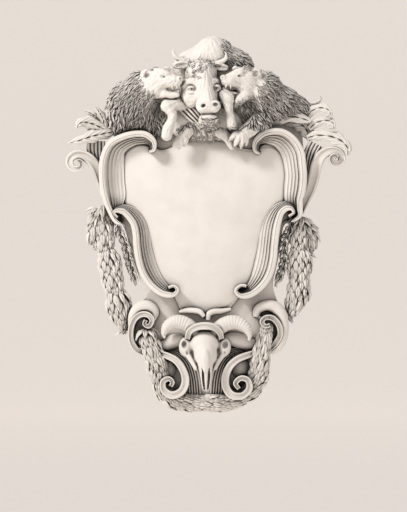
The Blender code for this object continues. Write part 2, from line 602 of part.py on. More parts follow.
def beasts(bm):
    """The bull and the two bears, as smooth masses without their coats."""
    for mass in (*BULL_MASSES, *BEAR_MASSES[0], *BEAR_MASSES[1]):
        ball(bm, *mass)
    for stations in (*BULL_LIMBS, *BEAR_LIMBS):
        limb(bm, stations)
    for nose, way, jaw in zip(BEAR_NOSES, (1, -1), BEAR_JAWS):
        bear_head(bm, nose, way, jaw)


def carved(name, fill, grain, softening):
    """A closed mesh cut from the shapes that fill makes, with its hollow angles softened."""
    bm = bmesh.new()
    fill(bm)
    bmesh.ops.recalc_face_normals(bm, faces=bm.faces)
    mesh = bpy.data.meshes.new(name)
    bm.to_mesh(mesh)
    bm.free()
    rough = bpy.data.objects.new(name, mesh)
    bpy.context.scene.collection.objects.link(rough)
    cells = rough.modifiers.new("cells", "REMESH")
    cells.mode = "VOXEL"
    cells.voxel_size = grain
    ease = rough.modifiers.new("ease", "SMOOTH")
    ease.factor = 0.5
    ease.iterations = round(softening)
    graph = bpy.context.evaluated_depsgraph_get()
    done = bpy.data.meshes.new_from_object(rough.evaluated_get(graph))
    bpy.data.objects.remove(rough)
    return done


def coat(bm, body, patch, away_from):
    """Locks of hair over one bear's neck and shoulder, falling away from its head."""
    tree = BVHTree.FromPolygons([v.co for v in body.vertices], [p.vertices for p in body.polygons])
    (x0, z0), (x1, z1) = patch
    step = squares(LOCK_LENGTH) * 0.42
    rows = int(abs(z1 - z0) / step) + 1
    columns = int(abs(x1 - x0) / (step * 0.8)) + 1
    for row in range(rows):
        for column in range(columns):
            x = min(x0, x1) + (column + 0.5 * (row % 2)) * step * 0.8
            z = min(z0, z1) + row * step
            eye = Vector((x * SQUARE, -1.0, z * SQUARE))
            hit, normal, index, distance = tree.ray_cast(eye, Vector((0, 1, 0)))
            if hit is None or hit.y > -(GROUND + 4 * SQUARE):
                continue
            away = Vector((x - away_from[0], 0, z - away_from[1]))
            fall = (away.normalized() * 1.0 + Vector((0, 0, -0.7))).normalized()
            along = (fall - normal * fall.dot(normal)).normalized()
            root = hit - normal * LOCK_THICK / 8
            blade(bm, root, along, normal, LOCK_LENGTH, LOCK_WIDTH, LOCK_THICK, 0.18)


def everything(bm):
    """All the carving on the block."""
    ground(bm)
    shield(bm)
    frame_scrolls(bm)
    ears(bm)
    lower_scrolls(bm)
    skull(bm)
    for stations in (FESTOON_LEFT, FESTOON_RIGHT, FESTOON_BELOW):
        laurel(bm, stations)
    for stations in FESTOON_TUFTS:
        laurel(bm, stations, 0.7)
    for stations in HUSK_CHAINS:
        husks(bm, stations)
    body = carved("beasts", beasts, CARVED_GRAIN, 6)
    for corner, head, away_from in COATS:
        coat(bm, body, (corner, head), away_from)
    bm.from_mesh(body)


def cutter(name, collection, fill):
    """A shape that is cut from the block, kept out of the finished carving."""
    bm = bmesh.new()
    fill(bm)
    mesh = bpy.data.meshes.new(name)
    bm.to_mesh(mesh)
    bm.free()
    tool = bpy.data.objects.new(name, mesh)
    tool.hide_render = True
    tool.display_type = "WIRE"
    collection.objects.link(tool)
    return tool


def sawn_back(bm):
    """The stone behind the wall face."""
    size = 2 * HEIGHT
    middle = Vector((0, size / 2, 0))
    bmesh.ops.create_cube(bm, size=size, matrix=Matrix.Translation(middle))


def hollows(bm):
    """Eye sockets, open mouths, nostrils and ears."""
    for hollow in HOLLOWS:
        ball(bm, *hollow)


def main():
    for old in list(bpy.data.objects):
        bpy.data.objects.remove(old)
    parts = bpy.data.collections.new("carved_cartouche")
    tools = bpy.data.collections.new("cutters")
    bpy.context.scene.collection.children.link(parts)
    bpy.context.scene.collection.children.link(tools)

    block = carved("block", everything, CARVED_GRAIN, SOFTENING)
    block.calc_loop_triangles()
    cartouche = bpy.data.objects.new("cartouche", block)
    parts.objects.link(cartouche)
    for name, fill in (("hollows", hollows), ("sawn_back", sawn_back)):
        cut = cartouche.modifiers.new(name, "BOOLEAN")
        cut.operation = "DIFFERENCE"
        cut.solver = "EXACT"
        cut.object = cutter(name, tools, fill)
        if name == "hollows":
            facet = cartouche.modifiers.new("facet", "DECIMATE")
            facet.ratio = FACETS / len(block.loop_triangles)

    stone = bpy.data.materials.new("pale_stone")
    stone.use_nodes = True
    finish = stone.node_tree.nodes["Principled BSDF"]
    finish.inputs["Base Color"].default_value = STONE
    finish.inputs["Roughness"].default_value = 0.75
    block.materials.clear()
    block.materials.append(stone)


main()
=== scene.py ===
# %% [markdown]
# # A carved stone cartouche
# A cartouche is a blank shield in a carved frame, fixed to a wall. This one is cut from one
# block of pale limestone: a swelling shield, four fluted scrolls round it, a bull between
# two bears on top, an ox skull below, acanthus leaves at the shoulders and laurel festoons
# hanging at the sides. Everything is built from one drawing, the carver's template, so
# the pieces line up with each other and with the solid that the frame gives.

# %% Load the frame
import math

import bmesh
import bpy
import numpy as np
import openvdb
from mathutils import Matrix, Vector

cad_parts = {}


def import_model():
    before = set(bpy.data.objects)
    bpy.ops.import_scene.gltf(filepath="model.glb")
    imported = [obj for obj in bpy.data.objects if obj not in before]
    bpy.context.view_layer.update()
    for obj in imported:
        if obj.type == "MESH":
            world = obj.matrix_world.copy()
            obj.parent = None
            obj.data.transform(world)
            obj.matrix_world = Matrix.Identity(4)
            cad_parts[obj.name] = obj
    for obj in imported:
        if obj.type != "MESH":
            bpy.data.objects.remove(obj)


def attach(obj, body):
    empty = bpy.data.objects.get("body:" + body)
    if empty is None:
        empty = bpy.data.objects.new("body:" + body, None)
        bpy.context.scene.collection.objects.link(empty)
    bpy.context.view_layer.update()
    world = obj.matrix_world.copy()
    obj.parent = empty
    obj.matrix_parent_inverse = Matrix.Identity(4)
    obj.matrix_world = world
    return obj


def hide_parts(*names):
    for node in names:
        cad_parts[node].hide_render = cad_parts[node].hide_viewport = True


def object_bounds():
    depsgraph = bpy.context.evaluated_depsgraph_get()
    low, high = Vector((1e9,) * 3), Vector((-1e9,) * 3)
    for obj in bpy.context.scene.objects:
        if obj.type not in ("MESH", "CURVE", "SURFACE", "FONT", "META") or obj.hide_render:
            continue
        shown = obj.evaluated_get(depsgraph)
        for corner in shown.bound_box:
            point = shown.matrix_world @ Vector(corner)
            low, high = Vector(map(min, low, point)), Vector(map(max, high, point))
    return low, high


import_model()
cad_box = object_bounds()
print("solid, in metres:", [round(c, 3) for corner in cad_box for c in corner])

# %% [markdown]
# ## The carver's template
# A carver squares up a drawing and copies it to the block square by square. Places below
# are given the same way: squares to the right of the origin, squares up, and squares
# forward of the ground, the plain face that all the carving stands on. One square is
# about 3 mm, so a place in the drawing becomes a place in the world with one line.

# %% Template
HEIGHT = 1.20
TEMPLATE_SQUARES = 377
SQUARE = HEIGHT / TEMPLATE_SQUARES
GROUND = 0.030


def world(points):
    """Template points (right, up, forward) as world points in metres."""
    p = np.asarray(points, float)
    return np.stack([p[..., 0] * SQUARE, -GROUND - p[..., 2] * SQUARE, p[..., 1] * SQUARE], -1)


def flow(stations, steps):
    """A smooth run through the stations (Catmull-Rom), with steps between each two."""
    s = np.asarray(stations, float)
    padded = np.vstack([s[:1], s, s[-1:]])
    t = (np.arange(steps) / steps)[:, None]
    run = []
    for before, start, end, after in zip(padded, padded[1:], padded[2:], padded[3:]):
        curve = 2 * start + (end - before) * t
        curve = curve + (2 * before - 5 * start + 4 * end - after) * t**2
        curve = curve + (3 * start - before - 3 * end + after) * t**3
        run.append(curve / 2)
    return np.vstack([*run, s[-1:]])


# %% [markdown]
# ## The stone
# Weathered limestone is never one colour, and the mason's fine claw tool leaves short
# parallel strokes. Ambient occlusion finds the hollows, and shade is painted into their
# colour there as painted shade; noises at three scales give the bedding, the mottling and
# the grain; a stretched noise gives the strokes.

# %% Stone material
STONE_PALE = (0.86, 0.82, 0.78, 1)
STONE_WARM = (0.74, 0.69, 0.635, 1)
# The darkest colour is painted shade, mixed into the colour of the hollows.
PAINTED_SHADE_COLOUR = (0.060, 0.054, 0.048, 1)
HOLLOW_REACH = 0.045
GROOVE_REACH = 0.010
GRAIN_SCALE = 900
SPECK_SCALE = 420
CHISEL_SCALE = 95
PATCH_SCALE = 32
MOTTLE_SCALE = 14
WARM_SHARE = 0.55
SPECK_SHARE = 0.25
# Shares of painted shade for deep hollows and for fine grooves.
DEEP_SHADE = 0.75
GROOVE_SHADE = 0.7


def carved_stone(name, hollow_shade=1.0, strokes=0.35):
    """Pale stone with painted shade in its hollows and fine tool strokes on its faces."""
    stone = bpy.data.materials.new(name)
    stone.use_nodes = True
    tree = stone.node_tree
    nodes, links = tree.nodes, tree.links
    shader = nodes["Principled BSDF"]
    shader.inputs["Roughness"].default_value = 0.82
    shader.inputs["Specular IOR Level"].default_value = 0.25
    where = nodes.new("ShaderNodeTexCoord")

    def noise(scale, detail, stretch=(1, 1, 1)):
        mapping = nodes.new("ShaderNodeMapping")
        mapping.inputs["Scale"].default_value = stretch
        links.new(where.outputs["Object"], mapping.inputs["Vector"])
        texture = nodes.new("ShaderNodeTexNoise")
        texture.inputs["Scale"].default_value = scale
        texture.inputs["Detail"].default_value = detail
        links.new(mapping.outputs["Vector"], texture.inputs["Vector"])
        return texture.outputs["Fac"]

    def ramp(value, stops):
        node = nodes.new("ShaderNodeValToRGB")
        for element, (position, colour) in zip(node.color_ramp.elements, stops):
            element.position, element.color = position, colour
        for position, colour in stops[2:]:
            node.color_ramp.elements.new(position).color = colour
        links.new(value, node.inputs["Fac"])
        return node.outputs["Color"]

    def math_node(operation, a, b):
        node = nodes.new("ShaderNodeMath")
        node.operation = operation
        for socket, value in zip(node.inputs, (a, b)):
            if isinstance(value, (int, float)):
                socket.default_value = value
            else:
                links.new(value, socket)
        return node.outputs[0]

    def blend(factor, under, over):
        node = nodes.new("ShaderNodeMix")
        node.data_type = "RGBA"
        node.clamp_factor = True
        links.new(factor, node.inputs["Factor"])
        for socket, colour in zip((node.inputs[6], node.inputs[7]), (under, over)):
            if isinstance(colour, tuple):
                socket.default_value = colour
            else:
                links.new(colour, socket)
        return node.outputs[2]

    def grey(value):
        return value, value, value, 1

    mottle = ramp(noise(MOTTLE_SCALE, 6), [(0.38, grey(0)), (0.72, grey(1))])
    body = blend(math_node("MULTIPLY", mottle, WARM_SHARE), STONE_PALE, STONE_WARM)
    speck = ramp(noise(SPECK_SCALE, 3), [(0.62, grey(0)), (0.74, grey(1))])
    body = blend(math_node("MULTIPLY", speck, SPECK_SHARE), body, STONE_WARM)

    def hollows(reach, darkest, palest):
        node = nodes.new("ShaderNodeAmbientOcclusion")
        node.samples = 12
        node.inputs["Distance"].default_value = reach
        return ramp(node.outputs["AO"], [(darkest, grey(1)), (palest, grey(0))])

    # Painted shade: where ambient occlusion finds hollows and grooves, the colour is darkened
    # towards the darkest colour, made patchy by a noise.
    deep = hollows(HOLLOW_REACH, 0.15, 0.82)
    fine = hollows(GROOVE_REACH, 0.25, 0.92)
    patchy = math_node("ADD", 0.62, math_node("MULTIPLY", noise(PATCH_SCALE, 5), 0.75))
    dark = math_node("ADD", math_node("MULTIPLY", deep, DEEP_SHADE),
                     math_node("MULTIPLY", fine, GROOVE_SHADE))
    painted_shade = math_node("MULTIPLY", math_node("MULTIPLY", dark, patchy), hollow_shade)
    links.new(blend(painted_shade, body, PAINTED_SHADE_COLOUR), shader.inputs["Base Color"])

    chisel = noise(CHISEL_SCALE, 2, (1.0, 1.0, 0.16))
    grain = noise(GRAIN_SCALE, 4)
    relief = math_node("ADD", math_node("MULTIPLY", chisel, strokes),
                       math_node("MULTIPLY", grain, 0.25))
    bump = nodes.new("ShaderNodeBump")
    bump.inputs["Strength"].default_value = 0.35
    bump.inputs["Distance"].default_value = 0.0015
    links.new(relief, bump.inputs["Height"])
    links.new(bump.outputs["Normal"], shader.inputs["Normal"])
    return stone


# Both stones have shade painted into their hollows; the shield's stone has less of it.
STONE = carved_stone("limestone with painted shade")
SHIELD_STONE = carved_stone("honed limestone", hollow_shade=0.8, strokes=0.12)
print("materials:", STONE.name, "and", SHIELD_STONE.name)

# %% [markdown]
# ## Skins and pieces
# Most of the frame is strap work: a band of stone that swells, narrows and rolls up. A
# skin stretched over a row of cross-sections makes that directly. Each piece is a closed
# shell with its faces outward; where two shells meet they sink into each other, as
# masses do in one block. Edges sharper than the limit stay crisp arrises.

# %% Skins
ARRIS_ANGLE = math.radians(38)
LEAF_ANGLE = math.radians(60)
made = []


def placed(name, data):
    """A new object in the scene."""
    obj = bpy.data.objects.new(name, data)
    bpy.context.scene.collection.objects.link(obj)
    return obj


def places(mesh):
    """The mesh's points as rows of x, y and z."""
    co = np.empty(len(mesh.vertices) * 3)
    mesh.vertices.foreach_get("co", co)
    return co.reshape(-1, 3)


class Shells:
    """Closed shells that are collected and then turned into one piece."""

    def __init__(self):
        self.points = []
        self.faces = []
        self.count = 0

    def add(self, points, faces):
        self.points.append(np.asarray(points, float))
        self.faces.extend([[v + self.count for v in face] for face in faces])
        self.count += len(points)

    def skin(self, rings):
        """A shell over rings of equally many world points, closed at both ends."""
        rings = np.asarray(rings, float)
        rows, size = rings.shape[:2]
        i, j = np.meshgrid(np.arange(rows - 1), np.arange(size), indexing="ij")
        a = i * size + j
        b = i * size + (j + 1) % size
        quads = np.stack([a, b, b + size, a + size], -1).reshape(-1, 4).tolist()
        ends = [list(range(size)), list(range(size * (rows - 1), size * rows))[::-1]]
        self.add(rings.reshape(-1, 3), quads + ends)


def finished(obj, stone):
    """Gives a piece its stone and ties it to the frame."""
    obj.data.materials.clear()
    obj.data.materials.append(stone)
    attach(obj, "root")
    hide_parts("cartouche")
    obj.data.calc_loop_triangles()
    made.append((obj.name, len(obj.data.loop_triangles)))
    print(f"{obj.name}: {len(obj.data.loop_triangles)} triangles")
    return obj


def inside_block(mesh):
    """Keeps a mesh inside the block that the carving is cut from."""
    low, high = (np.array(corner) for corner in cad_box)
    high[1] = 0.0
    mesh.vertices.foreach_set("co", np.clip(places(mesh), low, high).ravel())


def closed_object(name, points, faces):
    """An object with a closed mesh inside the block, its faces turned outward."""
    mesh = bpy.data.meshes.new(name)
    mesh.from_pydata(points.tolist(), [], faces)
    inside_block(mesh)
    bm = bmesh.new()
    bm.from_mesh(mesh)
    bmesh.ops.recalc_face_normals(bm, faces=bm.faces)
    bm.to_mesh(mesh)
    bm.free()
    mesh.shade_smooth()
    return placed(name, mesh)


def piece(name, shells, stone=STONE, crisp=ARRIS_ANGLE):
    """One piece from its shells."""
    obj = closed_object(name, np.vstack(shells.points), shells.faces)
    obj.data.set_sharp_from_angle(angle=crisp)
    return finished(obj, stone)


# %% [markdown]
# ## Cross-sections
# A scroll is known by its section. The frame's scrolls have a raised fillet on the outside
# and, inside it, a hollow cut with flutes that falls to the shield. The small scrolls are
# plain straps with a sunk channel. Each section is a list of pairs: how far across the
# strap, and how far below its highest line.

# %% Sections
FLUTES = 5
FRAME_FACE = 0.072 / SQUARE
SHIELD_EDGE = 0.016 / SQUARE
FILLET = 0.019 / SQUARE
FLUTE_DEPTH = 0.0060 / SQUARE
STEP_DOWN = 2.6
SHIELD_REVEAL = 4


def fluted(width, top):
    """The frame's section, from the outer side to the shield."""
    fillet = min(FILLET, 0.55 * width) / width
    eased = [(0.10, 9.0), (0.03, 6.0), (0.0, 3.4), (0.0, 1.6), (0.03, 0.5), (0.10, 0.1)]
    section = [(s * min(1, 20 / width), d) for s, d in eased]
    section += [(fillet * 0.62, 0.0), (fillet * 0.70, 0.45), (fillet * 0.78, 0.05)]
    section += [(fillet * 0.92, 0.3), (fillet * 0.985, 1.0), (fillet, STEP_DOWN)]
    fall = max(top - SHIELD_EDGE - SHIELD_REVEAL, 3)
    cuts = 8 * FLUTES
    for k in range(1, cuts + 1):
        u = k / cuts
        groove = FLUTE_DEPTH * abs(math.sin(math.pi * FLUTES * u)) * (1.15 - 0.7 * u)
        section.append((fillet + (1 - fillet) * u,
                        STEP_DOWN + (fall - STEP_DOWN) * u**0.72 + groove))
    return section


def channelled(width, top):
    """A strap with a fillet on each edge and a shallow channel between."""
    half = [(0.06, 5.0), (0.0, 2.6), (0.02, 1.0), (0.08, 0.2), (0.16, 0.0), (0.23, 0.15),
            (0.27, 0.9), (0.36, 1.5), (0.5, 1.7)]
    return half + [(1 - s, d) for s, d in half[-2::-1]]


def rolled(width, top):
    """A round roll with a bead of light along it."""
    drop = min(width * 0.46, top + 2)
    angles = np.linspace(0, math.pi, 17)
    return [((1 - math.cos(a)) / 2, drop * (1 - math.sin(a))) for a in angles]


def strap(shells, stations, section, outer_side, face=0.0, back=-4.0, thick=None, steps=10):
    """A strap along the stations, each a place, a width and a rise above the face."""
    run = flow(stations, steps)
    along = np.gradient(run[:, :2], axis=0)
    along /= np.linalg.norm(along, axis=1)[:, None] + 1e-9
    side = np.stack([-along[:, 1], along[:, 0]], 1) * outer_side
    rings = []
    for (x, z, width, rise), across in zip(run, side):
        top = rise + face
        profile = np.array(section(width, top))
        spots = np.array([x, z]) + across * width * (0.5 - profile[:, :1])
        low = top - thick if thick is not None else back
        depth = np.maximum(top - profile[:, 1], low + 0.3)
        ring = np.column_stack([spots, depth])
        feet = ring[[0, -1]].copy()
        feet[:, 2] = low
        rings.append(np.vstack([feet[:1], ring, feet[1:]]))
    shells.skin(world(rings))


# %% [markdown]
# ## The ground and the shield
# The ground is the slab left standing behind the carving. The shield swells like a
# cushion: its height falls off slowly from the crown and then quickly at the rim, where a
# narrow bevel runs round it. Rings of the outline, drawn in towards the crown, carry it.

# %% Ground and shield
GROUND_OUTLINE = [
    (-87, 107), (-81, 125), (-65, 143), (-45, 151), (-23, 169), (6, 183),
    (31, 169), (45, 151), (61, 139), (83, 125), (95, 109), (96, 85),
    (98, 65), (101, 47), (96, 25), (89, 9), (77, -1), (74, -20),
    (70, -40), (66, -59), (70, -75), (77, -89), (78, -107), (71, -121),
    (59, -129), (53, -145), (45, -161), (31, -172), (15, -178), (-2, -180),
    (-19, -178), (-35, -172), (-47, -162), (-53, -145), (-58, -127), (-71, -121),
    (-76, -105), (-73, -87), (-65, -77), (-61, -69), (-67, -55), (-73, -37),
    (-78, -20), (-82, -5), (-89, 7), (-99, 17), (-104, 35), (-104, 55),
    (-101, 73), (-93, 85), (-95, 97),
]
SHIELD_CENTRE = (-2, 0)
SHIELD_OUTLINE = [
    (0, -92), (-13, -87), (-25, -86), (-30, -77), (-35, -68), (-47, -59),
    (-55, -45), (-60, -27), (-62, -10), (-69, 7), (-82, 19), (-89, 33),
    (-91, 50), (-89, 67), (-80, 79), (-67, 84), (-55, 79), (-45, 75),
    (-32, 79), (-17, 87), (-1, 90), (15, 87), (27, 79), (39, 76),
    (49, 76), (59, 81), (73, 79), (82, 67), (84, 51), (82, 35),
    (77, 22), (66, 10), (59, -5), (56, -22), (52, -39), (47, -55),
    (35, -67), (29, -76), (21, -84), (9, -87),
]
SHIELD_CROWN = 0.046 / SQUARE
RIM_FADING = 0.6
RIM_BEVEL = 0.55
RIM_INSIDE = 0.965


def closed_flow(outline, steps):
    """A smooth closed line through the places of an outline."""
    looped = outline[-1:] + outline + outline[:2]
    run = flow(looped, steps)
    return run[steps:-steps - 1]


ground = Shells()
outline = closed_flow(GROUND_OUTLINE, 6)
levels = [(-GROUND / SQUARE, 1.0), (-1.5, 1.0), (-0.4, 0.996), (0.0, 0.985)]
ground.skin(world([np.column_stack([outline * inset, np.full(len(outline), depth)])
                   for depth, inset in levels]))
piece("ground", ground)

shield = Shells()
outline = closed_flow(SHIELD_OUTLINE, 8)
rings = [np.column_stack([outline, np.full(len(outline), -2.0)])]
waves = np.fft.fft((outline - SHIELD_CENTRE) @ (1, 1j))
bends = np.abs(np.abs(np.fft.fftfreq(len(outline), 1 / len(outline))) - 1)
for share in np.concatenate([[1.0, 0.992, 0.978, 0.968, 0.962], np.linspace(0.95, 0.02, 36)]):
    swell = SHIELD_EDGE + (SHIELD_CROWN - SHIELD_EDGE) * (1 - share**2.2) ** 0.8
    bevel = RIM_BEVEL if share < RIM_INSIDE else 0.0
    ring = np.fft.ifft(waves * share ** (1 + RIM_FADING * bends))
    spots = np.column_stack([ring.real, ring.imag]) + SHIELD_CENTRE
    rings.append(np.column_stack([spots, np.full(len(outline), swell + bevel)]))
shield.skin(world(rings))
piece("shield", shield, SHIELD_STONE)

# %% [markdown]
# ## The frame's four scrolls
# Each scroll is one strap, rolled at both ends. The stations follow its middle: place,
# width and rise. Close together where it curls, far apart where it runs straight.

# %% Frame scrolls
FRAME_SCROLLS = {
    "upper_scroll_left": (-1, [
        (-58, 74, 4, 0), (-54, 76, 6, 1), (-55, 83, 9, 1), (-62, 87, 13, 1),
        (-72, 87, 14.5, 0), (-83, 83, 17, 0), (-91.5, 76, 21, 0),
        (-95, 65, 24, 0), (-95.5, 53, 25, 0), (-95, 41, 25, -1),
        (-93.5, 30, 24, -2), (-93.5, 20, 18, -3), (-93, 12, 11, -2),
        (-90, 5, 8, 0), (-86, 2, 5, 1)]),
    "lower_scroll_left": (-1, [
        (-90, 7, 4, 2), (-94, 12, 5, 3), (-91, 15.5, 7, 3), (-83, 15.5, 11, 2),
        (-75, 11, 15, 1), (-68.5, 3, 17, 0), (-65.5, -8, 18, 0),
        (-64.5, -21, 18, 0), (-62, -34, 19, 0), (-58, -46, 19, 0),
        (-51.5, -57, 17, 0), (-43, -65, 14, 1), (-35, -68, 9, 2), (-31, -65, 7, 3),
        (-33.5, -62, 5, 3), (-38, -63.5, 5, 3)]),
    "upper_scroll_right": (1, [
        (53, 72, 4, 0), (49, 75, 6, 1), (49.5, 82, 8, 1), (55, 87, 12, 1),
        (63, 88.5, 16, 1), (73, 86.5, 20, 0), (81, 80, 22, 0),
        (86, 71, 23, 0), (88, 60, 22, 0), (89, 49, 22, -1), (88, 37, 22, -2),
        (87, 26, 19, -3), (90, 17, 12, -2), (91, 10, 8, 0), (86, 5, 5, 1)]),
    "lower_scroll_right": (1, [
        (82, 8, 4, 2), (87.5, 12, 5, 3), (85, 17.5, 7, 3), (78, 18.5, 11, 2),
        (70.5, 14, 15, 1), (65, 4, 19, 0), (62.5, -7, 20, 0), (61, -20, 20, 0),
        (59.5, -32, 21, 0), (56.5, -45, 21, 0), (51.5, -56, 18, 0),
        (43, -66, 13, 1), (34.5, -69, 9, 2), (30, -65.5, 6, 3), (34, -61.5, 5, 3),
        (39, -62, 5, 3)]),
}
for name, (outer_side, stations) in FRAME_SCROLLS.items():
    scroll = Shells()
    strap(scroll, stations, fluted, outer_side, face=FRAME_FACE)
    piece(name, scroll)

# %% [markdown]
# ## Ears: volutes and acanthus
# At each shoulder a strap springs out and rolls up into a volute, over a reeded throat,
# with acanthus leaves curling above it. A leaf is a strap too, but its edge swells and
# shrinks into lobes, and its face has a sunk midrib with veins slanting to the tips.

# %% Ears
EAR_VOLUTES = {
    "left": [
        (-103, 29, 6, 6), (-106, 43, 9, 8), (-110, 56, 11, 10), (-116, 64.5, 11, 12),
        (-123, 69.5, 10, 14), (-130.5, 70.5, 9, 16), (-136.5, 66.5, 8, 17),
        (-137, 60.5, 7.5, 18), (-132.5, 56, 6.5, 19), (-126.5, 57.5, 5.5, 20),
        (-125.5, 62.5, 4.5, 21), (-129.5, 64.5, 4, 22)],
    "right": [
        (94, 12, 6, 6), (99, 25, 9, 6), (104, 37, 11, 7), (107, 49, 12, 9),
        (109.5, 60, 12, 11), (114, 69, 11, 13), (122, 74, 10, 15), (131, 73, 9, 17),
        (135, 67, 8, 18), (132, 61, 7, 19), (126, 62, 6, 20), (124, 67, 5, 21),
        (128, 69.5, 4.5, 22), (130.5, 67, 4, 22)],
}
EAR_THROATS = {
    "left": [
        (-106, 43, 5, 4), (-108, 56, 9, 6), (-110, 67, 15, 8), (-111, 76, 19, 10),
        (-111, 84, 18, 12)],
    "right": [
        (98, 29, 5, 4), (100, 45, 9, 6), (102, 59, 13, 8), (105, 71, 17, 10),
        (110, 81, 17, 12)],
}
EAR_LEAVES = {
    "left": [
        [(-94, 93, 9, 12), (-104, 91, 13, 15), (-115, 88.5, 14, 18), (-127, 84.5, 10, 19),
         (-138.5, 81.5, 2, 17)],
        [(-100, 94, 8, 12), (-108.5, 98.5, 13, 15), (-118, 102, 15, 18), (-126, 102, 11, 21),
         (-130, 96, 3, 22)],
        [(-102, 96, 8, 10), (-108.5, 105.5, 9, 12), (-115, 111, 7, 13), (-123, 114.2, 1.5, 13)],
        [(-102, 96, 7, 12), (-104, 106, 9, 14), (-107.5, 112.5, 8, 16), (-112, 118.5, 1.5, 17)],
    ],
    "right": [
        [(76, 104, 8, 8), (88, 103.5, 15, 9), (98, 97.5, 17, 9), (103.5, 86, 9, 8)],
        [(55, 95, 7, 13), (62, 102.5, 11, 16), (74, 107.5, 14, 19),
         (88, 108, 13, 20), (102, 104, 7, 18)],
        [(99, 106, 8, 12), (104, 113.5, 10, 15), (113, 117, 10, 18), (121, 115, 8, 21),
         (123, 110, 5, 22), (118.5, 107.5, 3, 22)],
        [(101, 121, 2.5, 10), (108, 121.5, 3.5, 12), (114, 125, 3, 14),
         (113, 129, 1.5, 15)],
        [(102, 96, 8, 12), (110, 102.5, 10, 15), (119, 104.5, 10, 18), (126, 101.5, 7, 21),
         (126, 96, 4, 22), (121.5, 96.5, 3, 22)],
        [(100, 87, 7, 12), (110, 89.5, 11, 16), (123, 88.5, 13, 20), (134, 84, 14, 22),
         (140.5, 76.5, 10, 22), (140, 68.5, 3, 20)],
    ],
}


def reeded(width, top, reeds=5, depth=1.8, cuts=40):
    """A throat of rounded reeds."""
    return [(k / cuts, depth * (1 - abs(math.sin(math.pi * reeds * k / cuts))))
            for k in range(cuts + 1)]


def acanthus(shells, stations, lobes=3.0, cut=0.24, thick=5.5):
    """A leaf along the stations, with a lobed edge, a sunk midrib and slanting veins."""
    run = flow(stations, 16)
    t = np.linspace(0, 1, len(run))
    run[:, 2] *= 1 - cut * np.abs(np.cos(math.pi * lobes * t)) ** 1.5
    along = np.gradient(run[:, :2], axis=0)
    along /= np.linalg.norm(along, axis=1)[:, None] + 1e-9
    side = np.stack([-along[:, 1], along[:, 0]], 1)
    s = np.linspace(-1, 1, 25)
    rings = []
    for (x, z, width, rise), across, share in zip(run, side, t):
        spots = np.array([x, z]) + across * width * 0.5 * s[:, None]
        size = min(width / 12, 1)
        midrib = 1.5 * np.exp(-((s / 0.10) ** 2))
        droop = 2.6 * np.abs(s) ** 3
        veins = 1.0 * np.abs(np.sin(math.pi * (2.2 * np.abs(s) + 2 * lobes * share)))
        front = np.column_stack([spots, rise - size * (midrib + droop + veins)])
        back = np.column_stack([
            spots, rise - size * droop - thick * size * (1 - 0.8 * np.abs(s) ** 4)])
        back[:, 2] = np.minimum(back[:, 2], front[:, 2] - 0.25)
        rings.append(np.vstack([front, back[::-1]]))
    shells.skin(world(rings))


for name, outer_side in (("left", -1), ("right", 1)):
    ear = Shells()
    strap(ear, EAR_VOLUTES[name], channelled, outer_side, back=-5.0)
    strap(ear, EAR_THROATS[name], reeded, 1, thick=9.0)
    for stations in EAR_LEAVES[name]:
        acanthus(ear, stations)
    piece(f"ear_{name}", ear)

# %% [markdown]
# ## Scrolls and straps round the skull
# Below the shield the strap work turns into rolls, volutes and two big scrolls with the
# skull between them. All of them are straps again, with channelled or rolled sections.

# %% Lower scrolls
SHIELD_LIPS = [
    [(-28, -87, 3, 10), (-21, -85.5, 5, 12), (-13, -85.5, 5.5, 14),
     (-7, -87, 5.5, 15), (-3, -91.5, 4, 15)],
    [(24, -84, 3, 10), (15, -86, 5, 12), (7, -86.5, 5.5, 14),
     (2, -89, 5.5, 15), (1, -95, 4, 15)],
]
LOWER_ROLLS = [
    [(-76, -101, 6, 4), (-74, -90, 9, 7), (-68, -82.5, 11, 9), (-59, -81.5, 12, 9),
     (-53, -87, 10, 7), (-54, -95, 5, 5)],
    [(49, -92, 6, 5), (51, -84.5, 9, 7), (59, -80.5, 10, 9), (68, -82, 12, 9),
     (74.5, -90, 12, 8), (77, -101, 10, 6), (76, -113, 9, 5), (71, -123, 8, 4),
     (64, -128, 5, 4)],
]
LOWER_VOLUTES = [
    [(-62, -129, 4, 3), (-70, -125, 6, 4), (-75.5, -116, 6, 5), (-76, -104, 6, 6),
     (-72.5, -94.5, 6, 8), (-66, -89.5, 6, 10), (-59, -90, 6, 12),
     (-55, -95, 5.5, 13), (-58, -101, 5, 14), (-62.5, -99, 4, 15), (-61, -95, 4, 15)],
    [(61, -126, 4, 4), (68, -119, 6, 5), (73, -110, 6, 7), (72, -100.5, 6, 9),
     (66, -93.5, 6, 11), (59, -92.5, 5, 13), (55, -96.5, 5, 14),
     (58, -101, 4.5, 15), (63, -100, 4, 15)],
]
SKULL_SCROLLS = [
    [(-51, -128, 5, -8), (-42, -130, 6.5, -4), (-31, -135.5, 7, -1), (-24, -145, 7.5, 0),
     (-21.5, -156, 8, 0), (-25.5, -166, 8, 0), (-35, -170, 8, 1), (-43, -165, 7, 1),
     (-44, -157, 6, 2), (-38.5, -153.5, 5, 3), (-34.5, -157, 4.5, 3), (-36.5, -161, 4, 3)],
    [(51, -127, 5, -8), (41, -130, 6.5, -4), (31, -134, 7, -1), (23, -141, 7.5, 0),
     (18.5, -151, 8, 0), (19, -162, 8, 0), (25, -170, 8, 1), (35, -170.5, 7, 1),
     (42, -164, 7, 1), (41, -155.5, 6, 2), (34, -153, 5.5, 3), (28.5, -158, 5, 3),
     (32, -163.5, 4, 3)],
]
SKULL_STRAPS = [
    [(-50, -122, 8, 3), (-41, -120, 11, 5), (-33, -116, 14, 7), (-24, -115, 10, 9)],
    [(54, -120, 8, 3), (43, -119, 12, 5), (33, -116, 15, 7), (24, -114, 13, 8),
     (17, -116, 8, 9)],
]
